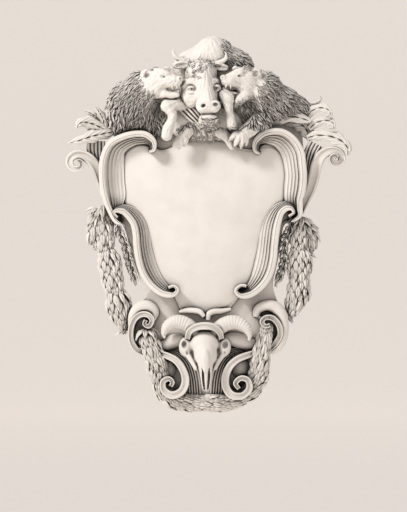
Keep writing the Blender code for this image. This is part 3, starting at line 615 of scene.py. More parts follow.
SKULL_THROATS = [
    [(-39, -125, 6, 3), (-27, -129, 10, 4), (-18, -139, 12, 4), (-13.5, -154, 13, 3),
     (-12, -171, 13, 2)],
    [(36, -125, 6, 3), (24, -129, 10, 4), (15, -139, 12, 4), (10.5, -154, 13, 3),
     (9, -171, 13, 2)],
]
VOLUTE_FACE = 0.062 / SQUARE
lower = Shells()
for group, section, face in (
    (SHIELD_LIPS, rolled, 4.0), (LOWER_ROLLS, rolled, 7.0), (LOWER_VOLUTES, channelled, 7.0),
    (SKULL_SCROLLS, channelled, VOLUTE_FACE), (SKULL_STRAPS, rolled, 3.0),
):
    for stations in group:
        strap(lower, stations, section, 1, face=face)
for stations in SKULL_THROATS:
    strap(lower, stations, reeded, 1, thick=9.0)
piece("lower_scrolls", lower)

# %% [markdown]
# ## Laurel festoons
# A festoon is a rope of leaves hung from two points. Geometry Nodes suit it: the tree walks
# along a curve, puts a ring of roots round it at each step, turns every second ring by
# half a leaf, and sets a leaf on each root, leaning out and pointing down the rope.

# %% The laurel leaf
LEAF_LENGTH = 0.044
LEAF_WIDTH = 0.0175
LEAF_THICK = 0.0040
WALL_CLEARANCE = 0.002


def stamp(name, rings):
    """A small closed shape that a tree sets many times. Only the tree shows it."""
    shells = Shells()
    shells.skin(rings)
    mesh = bpy.data.meshes.new(name)
    mesh.from_pydata(np.vstack(shells.points).tolist(), [], shells.faces)
    mesh.shade_smooth()
    return bpy.data.objects.new(name, mesh)


def leaf_object(name, length, width, thick):
    """A pointed leaf along +X with its face to +Z: two swelling halves and a midrib."""
    rings = []
    for t, share in ((0, 0.30), (0.18, 0.78), (0.42, 1.0), (0.68, 0.76), (0.88, 0.34), (1, 0.05)):
        half = width / 2 * share
        lift = thick * (0.4 + 1.2 * math.sin(math.pi * t) * share)
        curl = thick * (0.9 * math.sin(math.pi * t) - 0.9 * t**2)
        rings.append([
            (length * t, half, curl), (length * t, half * 0.5, curl + lift),
            (length * t, 0, curl + lift * 0.45), (length * t, -half * 0.5, curl + lift),
            (length * t, -half, curl), (length * t, 0, curl - thick * 0.8),
        ])
    return stamp(name, rings)


laurel_leaf = leaf_object("laurel leaf", LEAF_LENGTH, LEAF_WIDTH, LEAF_THICK)
print("one laurel leaf:", len(laurel_leaf.data.polygons), "faces")

# %% [markdown]
# A tree is long to write node by node. The few steps that leaves and hair share, such as
# standing a shape on the skin and turning it about its own axes, become methods, so that
# each tree below reads as the carver's own order of work.

# %% Tools for trees


def make_tree(name, inputs):
    """An empty Geometry Nodes tree with named inputs, each with a kind and a default."""
    tree = bpy.data.node_groups.new(name, "GeometryNodeTree")
    tree.interface.new_socket("Geometry", in_out="INPUT", socket_type="NodeSocketGeometry")
    tree.interface.new_socket("Geometry", in_out="OUTPUT", socket_type="NodeSocketGeometry")
    for label, (kind, value) in inputs.items():
        socket = tree.interface.new_socket(label, in_out="INPUT", socket_type=f"NodeSocket{kind}")
        if value is not None:
            socket.default_value = value
    return tree


class Nodes:
    """A short way to add nodes to a tree and wire their inputs by name or number."""

    def __init__(self, tree):
        self.tree = tree
        self.start = tree.nodes.new("NodeGroupInput").outputs
        self.end = tree.nodes.new("NodeGroupOutput").inputs

    def __call__(self, kind, wires=(), **settings):
        node = self.tree.nodes.new(kind)
        for key, value in settings.items():
            setattr(node, key, value)
        for key, value in dict(wires).items():
            socket = node.inputs[key]
            if isinstance(value, bpy.types.NodeSocket):
                self.tree.links.new(value, socket)
            else:
                socket.default_value = value
        return node.outputs

    def math(self, operation, a, b):
        return self("ShaderNodeMath", {0: a, 1: b}, operation=operation)[0]

    def random(self, low, high, seed):
        return self("FunctionNodeRandomValue", {2: low, 3: high, "Seed": seed},
                    data_type="FLOAT")[1]

    def join(self, *geometries):
        node = self.tree.nodes.new("GeometryNodeJoinGeometry")
        for geometry in geometries:
            self.tree.links.new(geometry, node.inputs[0])
        return node.outputs[0]

    def standing(self, normal, along):
        """A rotation that stands +Z on the skin and lays +X along a vector."""
        stand = self("FunctionNodeAlignRotationToVector", {"Vector": normal}, axis="Z")
        return self("FunctionNodeAlignRotationToVector",
                    {"Rotation": stand["Rotation"], "Vector": along},
                    axis="X", pivot_axis="Z")["Rotation"]

    def turned(self, rotation, pitch, yaw):
        """The rotation, turned further about its own Y and Z."""
        angles = self("ShaderNodeCombineXYZ", {"X": 0.0, "Y": pitch, "Z": yaw})["Vector"]
        twist = self("FunctionNodeEulerToRotation", {"Euler": angles})["Rotation"]
        return self("FunctionNodeRotateRotation", {"Rotation": rotation, "Rotate By": twist},
                    rotation_space="LOCAL")["Rotation"]

    def finish(self, geometry):
        """Ends the tree with real meshes in the piece's stone."""
        real = self("GeometryNodeRealizeInstances", {"Geometry": geometry})["Geometry"]
        stone = self("GeometryNodeSetMaterial",
                     {"Geometry": real, "Material": self.start["Stone"]})["Geometry"]
        self.tree.links.new(stone, self.end[0])


def run_tree(obj, tree, values):
    """Runs a tree on an object and returns the result as a plain mesh."""
    modifier = obj.modifiers.new("build", "NODES")
    modifier.node_group = tree
    for item in tree.interface.items_tree:
        if item.in_out == "INPUT" and item.name in values:
            modifier[item.identifier] = values[item.name]
    graph = bpy.context.evaluated_depsgraph_get()
    mesh = bpy.data.meshes.new_from_object(obj.evaluated_get(graph))
    bpy.data.objects.remove(obj)
    return mesh


# %% The festoon tree
def festoon_tree():
    """Rings of leaves along a curve whose radius is the festoon's core."""
    tree = make_tree("laurel festoon", {
        "Leaf": ("Object", None), "Spacing": ("Float", 0.017), "Leaves Round": ("Int", 9),
        "Lean": ("Float", 0.30), "Unevenness": ("Float", 0.16), "Seed": ("Int", 3),
        "Stone": ("Material", None),
    })
    n = Nodes(tree)
    walk = n("GeometryNodeResampleCurve", {"Curve": n.start["Geometry"],
             "Length": n.start["Spacing"]}, mode="LENGTH")["Curve"]
    odd = n.math("MODULO", n("GeometryNodeInputIndex")["Index"], 2.0)
    half_turn = n.math("DIVIDE", math.pi, n.start["Leaves Round"])
    walk = n("GeometryNodeSetCurveTilt", {"Curve": walk,
             "Tilt": n.math("MULTIPLY", odd, half_turn)})["Curve"]
    capture = n.tree.nodes.new("GeometryNodeCaptureAttribute")
    capture.domain = "POINT"
    capture.capture_items.new("VECTOR", "Along")
    n.tree.links.new(walk, capture.inputs["Geometry"])
    n.tree.links.new(n("GeometryNodeInputTangent")["Tangent"], capture.inputs["Along"])
    circle = n("GeometryNodeCurvePrimitiveCircle",
               {"Resolution": n.start["Leaves Round"], "Radius": 1.0})["Curve"]
    tube = n("GeometryNodeCurveToMesh", {"Curve": capture.outputs["Geometry"],
             "Profile Curve": circle, "Scale": n("GeometryNodeInputRadius")["Radius"],
             "Fill Caps": True})["Mesh"]
    uneven = n.start["Unevenness"]
    uneven_less = n.math("MULTIPLY", uneven, -1.0)
    lean_more, yaw, size_more = (
        n.random(uneven_less, uneven, n.math("ADD", n.start["Seed"], float(offset)))
        for offset in range(3))
    lean = n.math("ADD", n.math("MULTIPLY", n.start["Lean"], -1.0), lean_more)
    standing = n.standing(n("GeometryNodeInputNormal")["Normal"], capture.outputs["Along"])
    leaf = n("GeometryNodeObjectInfo", {"Object": n.start["Leaf"]})["Geometry"]
    leaves = n("GeometryNodeInstanceOnPoints", {
        "Points": tube, "Instance": leaf, "Rotation": n.turned(standing, lean, yaw),
        "Scale": n.math("ADD", size_more, 1.0)})["Instances"]
    n.finish(n.join(leaves, tube))
    return tree


def curve_object(name, stations, radius_share, steps=6):
    """A curve through stations of place, width and depth, with its radius from the width."""
    run = flow(stations, steps)
    data = bpy.data.curves.new(name, "CURVE")
    data.dimensions = "3D"
    spline = data.splines.new("POLY")
    spline.points.add(len(run) - 1)
    spots = world(run[:, [0, 1, 3]])
    for point, spot, width in zip(spline.points, spots, run[:, 2]):
        point.co = (*spot, 1)
        point.radius = width * radius_share * SQUARE
    return placed(name, data)


def seated(mesh, axis_depth):
    """Presses what lies behind a depth towards the wall face, so that it stays in the block."""
    co = places(mesh)
    middle = -GROUND - axis_depth * SQUARE
    behind = co[:, 1] - middle
    reach = max(behind.max(), 1e-6)
    room = -middle - WALL_CLEARANCE
    squeeze = min(room / reach, 1.0)
    co[:, 1] = np.where(behind > 0, middle + behind * squeeze, co[:, 1])
    mesh.vertices.foreach_set("co", co.ravel())


festoon = festoon_tree()
print("the festoon tree has", len(festoon.nodes), "nodes")

# %% [markdown]
# A rope of leaves is thin where it is tied and swells between the ties. Each rope is a row
# of stations: place, width and depth. The husk chains beside the lower scrolls are the same
# tree with a thin core and four small leaves a ring, which open like buds.

# %% Festoons
FESTOONS = {
    "festoon_left": [
        [(-104, 19, 8, 2), (-103, 11, 13, 1), (-102.5, -1, 16, 1), (-102, -13, 17, 1),
         (-101, -22, 14, 1), (-99.5, -29, 21, 1), (-97, -42, 23, 1), (-94.5, -55, 22, 1),
         (-93, -64, 18, 1), (-90, -72, 25, 1), (-88.5, -83, 24, 0), (-86.5, -92, 17, -1),
         (-84.5, -100, 7, -2)],
        [(-108, 16, 4, 2), (-111.5, 8, 8, 1), (-113, -1, 9, 0), (-113, -9, 8, -1),
         (-111.5, -15, 4, -2)],
    ],
    "festoon_right": [
        [(95, 8, 6, 2), (94, -1, 15, 1), (93.5, -11, 19, 1), (93, -20, 15, 1),
         (93, -28, 21, 1), (93, -41, 24, 1), (93, -52, 21, 1), (92.5, -61, 24, 1),
         (90.5, -71, 21, 1), (87.5, -80, 16, 1), (84.5, -86, 7, 1)],
        [(99, -1, 4, 2), (103, -9, 8, 1), (103.5, -16, 8, 0), (102.5, -21, 4, -1)],
    ],
    "festoon_below": [
        [(-61, -104, 3, 10), (-60, -111, 11, 10), (-56.5, -121, 16, 10),
         (-53, -132, 19, 9), (-49, -144, 19, 7), (-47, -156, 16, 5),
         (-42, -167, 15, 3), (-33, -174, 15, 2), (-20, -177.5, 15, 2),
         (-5, -178.5, 15, 2), (11, -178.5, 15, 2), (25, -176, 15, 2), (37, -170, 16, 3),
         (46, -161, 17, 5), (51, -150, 18, 7), (53, -138, 18, 9), (55, -125, 16, 10),
         (58, -113, 12, 10), (59, -105, 7, 10), (59, -100, 3, 10)],
    ],
}
LAUREL = {"Leaf": laurel_leaf, "Spacing": 0.0165, "Leaves Round": 9, "Lean": 0.13,
          "Unevenness": 0.15, "Stone": STONE}


def hang(shells, stations, core, values, pressed=True):
    """Adds a rope of leaves to the shells. The core is its radius as a share of its width."""
    mesh = run_tree(curve_object("rope", stations, core), festoon, values)
    if pressed:
        seated(mesh, 1)
    shells.add(places(mesh), [list(p.vertices) for p in mesh.polygons])


for name, ropes in FESTOONS.items():
    rope = Shells()
    for number, stations in enumerate(ropes):
        hang(rope, stations, 0.365, {**LAUREL, "Seed": 3 + number})
    piece(name, rope, crisp=LEAF_ANGLE)

# %% Husk chains
HUSK_CHAINS = [
    [(-90, 3, 5, 3), (-88, -7, 8, 3), (-83, -18, 9, 2), (-80, -29, 8, 2),
     (-77, -40, 8, 1), (-73, -54, 3, 0)],
    [(84, 3, 5, 3), (81, -7, 9, 3), (77, -18, 9, 2), (77, -30, 9, 2),
     (76, -41, 8, 1), (71, -55, 3, 0)],
]
HUSKS = {"Leaf": leaf_object("husk", 0.024, 0.0082, 0.0026), "Spacing": 0.0125,
         "Leaves Round": 4, "Lean": 0.50, "Unevenness": 0.12, "Stone": STONE}
chains = Shells()
for number, stations in enumerate(HUSK_CHAINS):
    hang(chains, stations, 0.16, {**HUSKS, "Seed": 11 + number}, pressed=False)
piece("husk_chains", chains, crisp=LEAF_ANGLE)

# %% [markdown]
# ## Modelling the beasts in clay
# Heads and bodies have no section to sweep. A modeller builds them from lumps of clay
# pressed together and then cuts into them. Here the clay is a grid of distances: each
# lump or limb lowers the distance round it, a smooth minimum presses it into what is
# there, and a tool cuts by raising it. The surface where the distance is zero is the skin.

# %% Clay


class Clay:
    """Clay on a grid of cells, in squares of the template (right, up, forward)."""

    FAR = 8.0

    def __init__(self, low, high, cell):
        self.low = np.array(low, float)
        self.cell = cell
        shape = np.ceil((np.array(high) - self.low) / cell).astype(int) + 1
        self.field = np.full(shape, self.FAR, np.float32)
        self.axes = [self.low[k] + cell * np.arange(shape[k], dtype=np.float32) for k in range(3)]

    def window(self, low, high):
        """The part of the grid between two corners, with its coordinates."""
        cuts = []
        for k in range(3):
            a, b = np.searchsorted(self.axes[k], (low[k], high[k]))
            cuts.append(slice(max(a - 1, 0), b + 1))
        x, z, d = (self.axes[k][cuts[k]] for k in range(3))
        return tuple(cuts), x[:, None, None], z[None, :, None], d[None, None, :]

    def press(self, cuts, distance, blend, cutting):
        """Joins a shape to the clay, or cuts it out, with a soft join."""
        old = self.field[cuts]
        new = -distance if cutting else distance
        sign = -1.0 if cutting else 1.0
        a, b = sign * old, sign * new
        soft = np.maximum(blend - np.abs(a - b), 0) / blend
        self.field[cuts] = sign * (np.minimum(a, b) - soft * soft * blend / 4)

    def lump(self, x, z, d, rx, rz, rd, turn=0.0, blend=4.0, cutting=False):
        """An ellipsoid, turned by turn degrees in the plane of the template."""
        reach = max(rx, rz, rd) + blend + 2
        centre = np.array([x, z, d])
        cuts, gx, gz, gd = self.window(centre - reach, centre + reach)
        if min(self.field[cuts].shape) == 0:
            return
        c, s = math.cos(math.radians(turn)), math.sin(math.radians(turn))
        u = ((gx - x) * c + (gz - z) * s) / rx
        v = (-(gx - x) * s + (gz - z) * c) / rz
        w = (gd - d) / rd
        k0 = np.sqrt(u * u + v * v + w * w) + 1e-6
        k1 = np.sqrt((u / rx) ** 2 + (v / rz) ** 2 + (w / rd) ** 2) + 1e-6
        self.press(cuts, k0 * (k0 - 1) / k1, blend, cutting)

    def limb(self, stations, blend=3.0, cutting=False, steps=4, flat=1.0):
        """A round limb through stations of place, depth and radius."""
        run = flow(stations, steps)
        reach = run[:, 3].max() + blend + 2
        cuts, gx, gz, gd = self.window(run[:, :3].min(0) - reach, run[:, :3].max(0) + reach)
        if min(self.field[cuts].shape) == 0:
            return
        best = np.full(self.field[cuts].shape, 99.0, np.float32)
        for a, b in zip(run, run[1:]):
            ab = b[:3] - a[:3]
            length = float(ab @ ab) + 1e-9
            t = ((gx - a[0]) * ab[0] + (gz - a[1]) * ab[1] + (gd - a[2]) * ab[2]) / length
            t = np.clip(t, 0, 1)
            dx, dz = gx - a[0] - t * ab[0], gz - a[1] - t * ab[1]
            dd = (gd - a[2] - t * ab[2]) * flat
            near = np.sqrt(dx * dx + dz * dz + dd * dd) - (a[3] + (b[3] - a[3]) * t)
            np.minimum(best, near, out=best)
        self.press(cuts, best, blend, cutting)

    def surface(self):
        """The skin as template points and quads, closed flat at the grid's back."""
        self.field[:, :, 0] = np.maximum(self.field[:, :, 0], 0.1)
        grid = openvdb.FloatGrid(background=self.FAR)
        grid.copyFromArray(np.ascontiguousarray(self.field))
        points, quads = grid.convertToQuads(0.0)
        return points.astype(float) * self.cell + self.low, quads


def fired(name, clay):
    """The clay's skin as an object, before its finish."""
    points, quads = clay.surface()
    return closed_object(name, world(points), quads[:, ::-1].tolist())


# %% [markdown]
# Short hair on a face is not modelled lock by lock: the carver drags a fine point over it.
# The strokes come from a block of random numbers that is read several times along the
# comb's direction and averaged, so that the grain is drawn out into hairs.

# %% Fur strokes
STROKE_WIDTH = 1.3
STROKE_REACH = np.linspace(-6.5, 6.5, 13)
GRAIN_SIDE = 40
grain_block = np.random.default_rng(4).standard_normal([GRAIN_SIDE] * 3)


def grain_at(p):
    """The random block read between its numbers, repeated without end."""
    cell = np.floor(p).astype(int)
    part = p - cell
    total = np.zeros(len(p))
    for corner in np.ndindex(2, 2, 2):
        share = np.prod(np.where(np.array(corner) == 1, part, 1 - part), axis=1)
        i, j, k = ((cell + corner) % GRAIN_SIDE).T
        total += share * grain_block[i, j, k]
    return total


def read_skin(mesh):
    """Places in template squares (right, up, forward), world places and world normals."""
    co = places(mesh)
    normals = np.empty(co.size)
    mesh.vertex_normals.foreach_get("vector", normals)
    normals = normals.reshape(-1, 3)
    return (co[:, 0] / SQUARE, co[:, 2] / SQUARE, (-co[:, 1] - GROUND) / SQUARE), co, normals


def smooth(low, high, value):
    """Rises softly from 0 at low to 1 at high."""
    t = np.clip((value - low) / (high - low), 0, 1)
    return t * t * (3 - 2 * t)


def away_from(hx, hz, fall):
    """A comb away from a place and downwards."""
    def comb(x, z, forward):
        dx, dz = x - hx, z - hz
        length = np.hypot(dx, dz) + 1e-6
        return dx / length, dz / length - fall
    return comb


def calm(*spots):
    """A share of 1 that falls to 0 at spots of place and radius: eyes, lips, hoofs, folds."""
    def share(x, z, forward):
        kept = np.ones(len(x))
        for spot_x, spot_z, radius in spots:
            kept *= smooth(0.5 * radius, radius, np.hypot(x - spot_x, z - spot_z))
        return kept
    return share


def fur_strokes(obj, comb_of, share_of, depth):
    """Cuts hairs into a skin along a comb, as deep as the share allows."""
    (x, z, forward), co, normals = read_skin(obj.data)
    comb = np.asarray(comb_of(x, z, forward))
    direction = np.stack([comb[0], np.zeros(len(x)), comb[1]], 1)
    direction -= normals * np.sum(direction * normals, 1)[:, None]
    direction /= np.linalg.norm(direction, axis=1)[:, None] + 1e-9
    drawn = sum(grain_at((co / SQUARE + direction * reach) / STROKE_WIDTH)
                for reach in STROKE_REACH)
    drawn = np.clip(drawn / drawn.std(), -1.6, 1.6) * np.clip(share_of(x, z, forward), 0, 1)
    obj.data.vertices.foreach_set("co", (co + normals * (drawn * depth * SQUARE)[:, None]).ravel())
    inside_block(obj.data)
    obj.data.update()


# %% [markdown]
# ## The bull
# Seen from the front: a heavy muzzle, a long nose bridge, heavy-lidded eyes, ears out to
# the sides and short horns, with the hump of its back rising behind. Its forelegs hang
# down on either side of the head.

# %% Bull
BODY_CELL = 0.74
HEAD_CELL = 0.56
FOLDS = 6
body = Clay((-57, 73, -6), (49, 195, 44), BODY_CELL)
for mass in (
    (6, 165, 8, 20, 24, 18), (-11, 158, 8, 22, 18, 17), (25, 155, 8, 20, 20, 16),
    (-1, 101, 12, 40, 17, 13), (-17, 112, 9, 17, 17, 10),
):
    body.lump(*mass, blend=8)
BULL_LEGS = [
    [(-19, 122, 20, 7), (-30, 121, 28, 7), (-39.5, 119, 33, 6.4)],
    [(-39, 118, 33, 6.2), (-34.5, 109, 35, 4.6), (-36.5, 101, 35.5, 4.4),
     (-39, 95, 36, 5.4), (-40, 89, 36, 5.4)],
    [(12, 133, 26, 6), (16.5, 130.5, 31, 6.6), (20.5, 126.5, 35, 6.9)],
    [(20.5, 126, 35, 6.6), (21.5, 118, 35.5, 4.6), (22.5, 111, 35.5, 3.8),
     (23.5, 105, 36, 4.6), (24.5, 100, 36, 4.6)],
]
for stations in BULL_LEGS:
    body.limb(stations, blend=2.0)
for cleft in (
    [(-38.5, 94, 41.6, 0.9), (-40.5, 83, 42, 0.9)],
    [(24, 104, 40.8, 0.9), (24.5, 95, 41, 0.9)],
):
    body.limb(cleft, 0.8, True)
FIRST_FOLD = np.array([(-32, 120.5, 22, 1.2), (-20, 107.5, 25.5, 1.35), (-5, 95, 23, 1.0)])
NEXT_FOLD = np.array([(3.3, 1.8, 1.2, 0), (2.7, 2.3, 1.2, 0), (1.2, 2.0, 1.2, 0)])
for fold in range(FOLDS):
    body.limb(FIRST_FOLD + NEXT_FOLD * fold, blend=0.9)
bull_body = fired("bull_body", body)

# %% [markdown]
# The head is one broad wedge from the poll to the muzzle. The features are pressed on it
# in the order in which a modeller works: large masses, brows, eyes with their lids, ears,
# horns, and last the nostrils and the mouth, which are cut in.

# %% The bull's head
head = Clay((-42, 93, 8), (33, 181, 53), HEAD_CELL)
for mass in (
    (-6, 151, 26, 15.5, 13, 13), (-14, 133, 28, 11.5, 13, 10.5), (-15, 126, 29, 9, 9, 9),
    (7.5, 131, 27, 7.5, 15, 9.5), (1.5, 105.5, 37.5, 9.2, 4.6, 8.4),
    (2, 100.5, 30, 10, 5.0, 8),
):
    head.lump(*mass, blend=6)
# The nose bridge with its ridge, and the muzzle with the wings of the nostrils.
head.limb([(-5, 151, 30, 11), (-3, 141, 35, 9.4), (-1, 130, 38.5, 8.6),
           (0.5, 120, 40.5, 9)], blend=6)
head.limb([(-2, 145, 38.5, 4.8), (0.5, 133, 43, 4.2), (1.5, 124, 45.5, 4.6)], blend=5)
head.lump(1.2, 117.8, 41.5, 12.2, 7.0, 9.4, blend=3)
for x, z in ((-4.4, 115), (6.8, 115.4)):
    head.lump(x, z, 45, 5.4, 3.9, 5.4, blend=1.5)
# Brows.
for brow in (
    [(-23.5, 138.5, 32.5, 3.0), (-18, 142.7, 37, 3.2), (-11, 142, 39.5, 2.6), (-6.5, 138, 40, 1.6)],
    [(4, 141, 39, 2.2), (8, 143.2, 36.5, 2.8), (12.5, 140.5, 32, 2.4)],
):
    head.limb(brow, blend=2.4)
# Eyes: a socket, the ball and its pupil, the upper and lower lid, and a crease below.
for x, z, way, width in ((-15.6, 135.4, 1, 5.2), (9.6, 136.4, -1, 3.8)):
    head.lump(x, z, 39.8, width, 3.7, 3.6, blend=1.2, cutting=True)
    head.lump(x, z, 35.2, width * 0.62, 2.7, 3.0, blend=0.4)
    head.lump(x + 0.3 * way, z - 0.1, 38.4, 1.2, 1.3, 1.6, blend=0.3, cutting=True)
    head.limb([(x - width, z - 0.8, 35, 1.0), (x - 2.2, z + 1.8, 38.2, 1.3),
               (x + 1.8, z + 1.9, 38.4, 1.3), (x + width, z - 0.3, 35.5, 1.0)], blend=0.7)
    head.limb([(x - width, z - 1.2, 35, 0.8), (x, z - 2.9, 37.8, 1.0),
               (x + width, z - 0.8, 35.5, 0.8)], blend=0.7)
    head.limb([(x - width * 0.9, z - 4.0, 37.6, 0.3), (x, z - 5.4, 38.7, 0.5),
               (x + width * 0.7, z - 4.2, 38.9, 0.3)], 0.6, True)
# Ears with their hollows, then horns.
for x, z, forward, turn in ((-25.5, 159.5, 27, 2), (12.5, 157.8, 27, -10)):
    head.lump(x, z, forward, 9.4, 4.2, 3.4, turn, blend=1.5)
    head.lump(x, z - 0.4, forward + 3.6, 7.2, 2.3, 3.0, turn, 0.6, cutting=True)
for horn in (
    [(-19, 162, 22, 3.8), (-27, 165, 23, 3.0), (-32, 168.5, 24, 2.2), (-33.8, 172.5, 24, 1.3),
     (-33, 175.5, 24, 0.5)],
    [(6, 160.5, 24, 3.4), (13, 162, 27, 2.8), (18.5, 165.5, 29, 2.0),
     (19, 170, 29, 1.0), (18, 172.5, 29, 0.5)],
):
    head.limb(horn, blend=1.2)
# Nostrils, each with a raised rim.
for x, z, way in ((-3.6, 118.4, 1), (8.2, 119.4, -1)):
    head.lump(x, z, 51.4, 2.7, 1.9, 4.2, 28 * way, 0.8, True)
    head.limb([(x - 3.4 * way, z - 1.6, 48, 1.0), (x - 2.6 * way, z + 2.2, 49.6, 1.3),
               (x + 1.4 * way, z + 3.1, 50, 1.2), (x + 3.4 * way, z + 1.2, 49.6, 0.9)], 0.8)
# The lower lip, the line of the mouth, the split above it, and the creases of the chin.
head.lump(1.4, 107.4, 41.5, 8.6, 3.0, 7.2, blend=0.8)
head.limb([(-11, 112.2, 42, 0.9), (-6, 109.8, 46.5, 1.5), (0.6, 111.6, 48.6, 1.3),
           (7.6, 109.8, 46.5, 1.5), (13, 113, 42, 0.9)], 0.6, True)
head.limb([(0.9, 116.8, 50.8, 0.5), (0.7, 111.4, 50.8, 0.6)], 0.8, True)
head.limb([(-6.5, 106, 42, 0.7), (1, 103.8, 45.5, 0.9), (9, 106.4, 42, 0.7)], 0.9, True)
for x in (-5.5, -2.1, 1.3, 4.7):
    head.limb([(x, 109.6, 46, 0.4), (x + 0.5, 107, 45, 0.5), (x + 0.2, 104, 42, 0.4)], 0.7, True)
bull_head = fired("bull_head", head)


def down_the_face(x, z, forward):
    """From the crown of the head over the cheeks to the muzzle."""
    return x * 0.05, -np.ones(len(x))


fur_strokes(bull_head, down_the_face, calm(
    (-15.6, 135, 9), (9.6, 136, 7), (1.5, 115, 14), (-31, 171, 12), (19, 168, 9)), 0.30)
fur_strokes(bull_body, down_the_face, calm(
    (-17, 108, 18), (-39, 89, 8), (24, 101, 8)), 0.30)
finished(bull_head, STONE)
finished(bull_body, STONE)

# %% [markdown]
# ## The bears
# The bears seize the bull from both sides: heads in profile, jaws open, small round ears
# and paws on the rim of the shield. They are the same animal turned about, so one
# function models both, and the places that differ are given to it.

# %% Bears


def bear_head(clay, nose, way, jaw, mouth):
    """A bear's head in profile. The nose is at a place; way is 1 if it looks right."""
    nx, nz = nose

    def at(back, down, depth, *rest):
        return (nx - way * back, nz - down, depth, *rest)

    # Skull, cheek, muzzle and lower jaw.
    clay.lump(*at(24, 0.5, 28), 13.5, 12.0, 12.5, blend=5)
    clay.lump(*at(23, 8, 29), 10, 8.5, 10, blend=4)
    clay.limb([at(15, 0, 33.5, 8.8), at(8.5, 1.4, 37, 7.2), at(4.0, 2.4, 38.5, 5.6)], blend=3)
    clay.limb([at(jaw[0][0] + 4, jaw[0][1], 26, 6), *[at(*spot) for spot in jaw]], blend=2.0)
    # The open mouth, its lip, the brow and the teeth.
    clay.limb([at(*spot) for spot in mouth], 0.8, True)
    clay.limb([at(mouth[1][0] + 1, mouth[1][1] + 2.2, 33, 1.6),
               at(mouth[2][0] + 3, mouth[2][1] + 1.8, 36.5, 1.5)], 0.7)
    clay.limb([at(24, -9, 36, 2.6), at(18.5, -7.6, 39.4, 2.8), at(13, -5.6, 40.6, 2.4)], blend=2.0)
    for back, down, size in ((3.6, 7.0, 1.3), (8.2, 7.8, 1.0)):
        clay.limb([at(back, down, 42, size), at(back - 0.4, down + 3.0, 41.6, 0.4)], 0.5)
    # The nose pad, its nostril and the groove behind it.
    clay.lump(*at(0.8, -0.4, 40.5), 3.4, 3.0, 4.2, blend=0.8)
    clay.lump(*at(-0.6, -0.4, 44.6), 1.9, 1.3, 2.4, blend=0.5, cutting=True)
    clay.limb([at(3.4, -3.4, 44, 0.5), at(4.6, 0.4, 44.6, 0.9), at(3.2, 3.4, 44, 0.5)], 0.8, True)
    # The eye in its socket, the lid and the fold of the cheek.
    clay.lump(*at(17.6, -3.6, 42.6), 3.3, 2.5, 3.6, blend=1.0, cutting=True)
    clay.lump(*at(17.6, -3.4, 39.2), 2.3, 1.7, 2.3, blend=0.4)
    clay.limb([at(21, -3.4, 40, 0.9), at(18.4, -5.4, 42, 1.2), at(14.6, -3.4, 42, 1.0)], 0.7)
    clay.limb([at(13, 0.8, 43.4, 0.6), at(14.6, 3.6, 43, 1.0), at(13.4, 7, 42, 0.6)], 0.8, True)
    # The near ear with its hollow, and the tip of the far one.
    clay.lump(*at(34, -4.6, 33), 5.6, 5.8, 5.0, blend=2)
    clay.lump(*at(33.4, -4.4, 38.4), 3.4, 3.6, 4.0, blend=0.8, cutting=True)
    clay.lump(*at(13.0, -9.8, 30), 3.4, 2.8, 3.4, blend=1.2)


BEAR_BODIES = {
    "left": [(-62, 136, 21, 18, 18, 16), (-75, 122, 15, 22, 22, 17),
             (-82, 106, 8, 15, 13, 11), (-60, 107, 8, 17, 17, 11),
             (-40, 113, 6, 13, 24, 10)],
    "right": [(55, 135, 21, 17, 18, 16), (70, 123, 14, 19, 16, 15),
              (84, 119, 9, 15, 10, 10), (45, 111, 8, 15, 22, 11),
              (31, 113, 5, 12, 22, 9)],
}
BEAR_THROATS = {"left": (-49, 115, 31, 8, 13, 15), "right": (44, 119, 31, 6, 8, 12)}
BEAR_LEGS = {
    "left": [[(-15, 98, 18, 6), (-23, 89, 24, 5.6), (-29, 82, 26, 4.8)],
             [(-97, 120, 8, 1.5), (-89, 115, 12, 6), (-79, 113, 14, 8)]],
    "right": [[(55, 107, 18, 8), (44, 96, 25, 7), (34, 89, 29, 6.2)],
              [(9, 95, 18, 6), (18, 89, 22, 5), (25, 77, 22, 2.4)],
              [(100, 115, 8, 1.5), (93, 117, 11, 5), (83, 119, 14, 7)]],
}
BEAR_TOES = {
    "left": [(-28, 84, 28, -34, 78), (-25, 83, 28, -28.5, 76),
             (-21, 85, 27, -22.5, 78)],
    "right": [(29, 91, 31, 22, 84), (32, 88, 32, 27.5, 78),
              (36, 87, 31, 33.5, 76), (39, 89, 29, 39, 79)],
}
BEAR_JAWS = {
    "left": [(17, 13.8, 33, 4.8), (10, 15.6, 35, 3.8), (3.5, 15.0, 36.5, 2.8)],
    "right": [(24, 14, 31, 6.4), (19.5, 19, 33, 5.0), (14.5, 22.5, 34.5, 4.0)],
}
BEAR_MOUTHS = {
    "left": [(13, 10.8, 40, 1.6), (6, 10.4, 40, 2.8), (-1, 9.6, 40, 3.2)],
    "right": [(20, 12.5, 39, 2.2), (13.5, 13.0, 39.5, 3.6), (5, 12.5, 40, 3.8)],
}
BEAR_CELL = 0.66
bears = {}
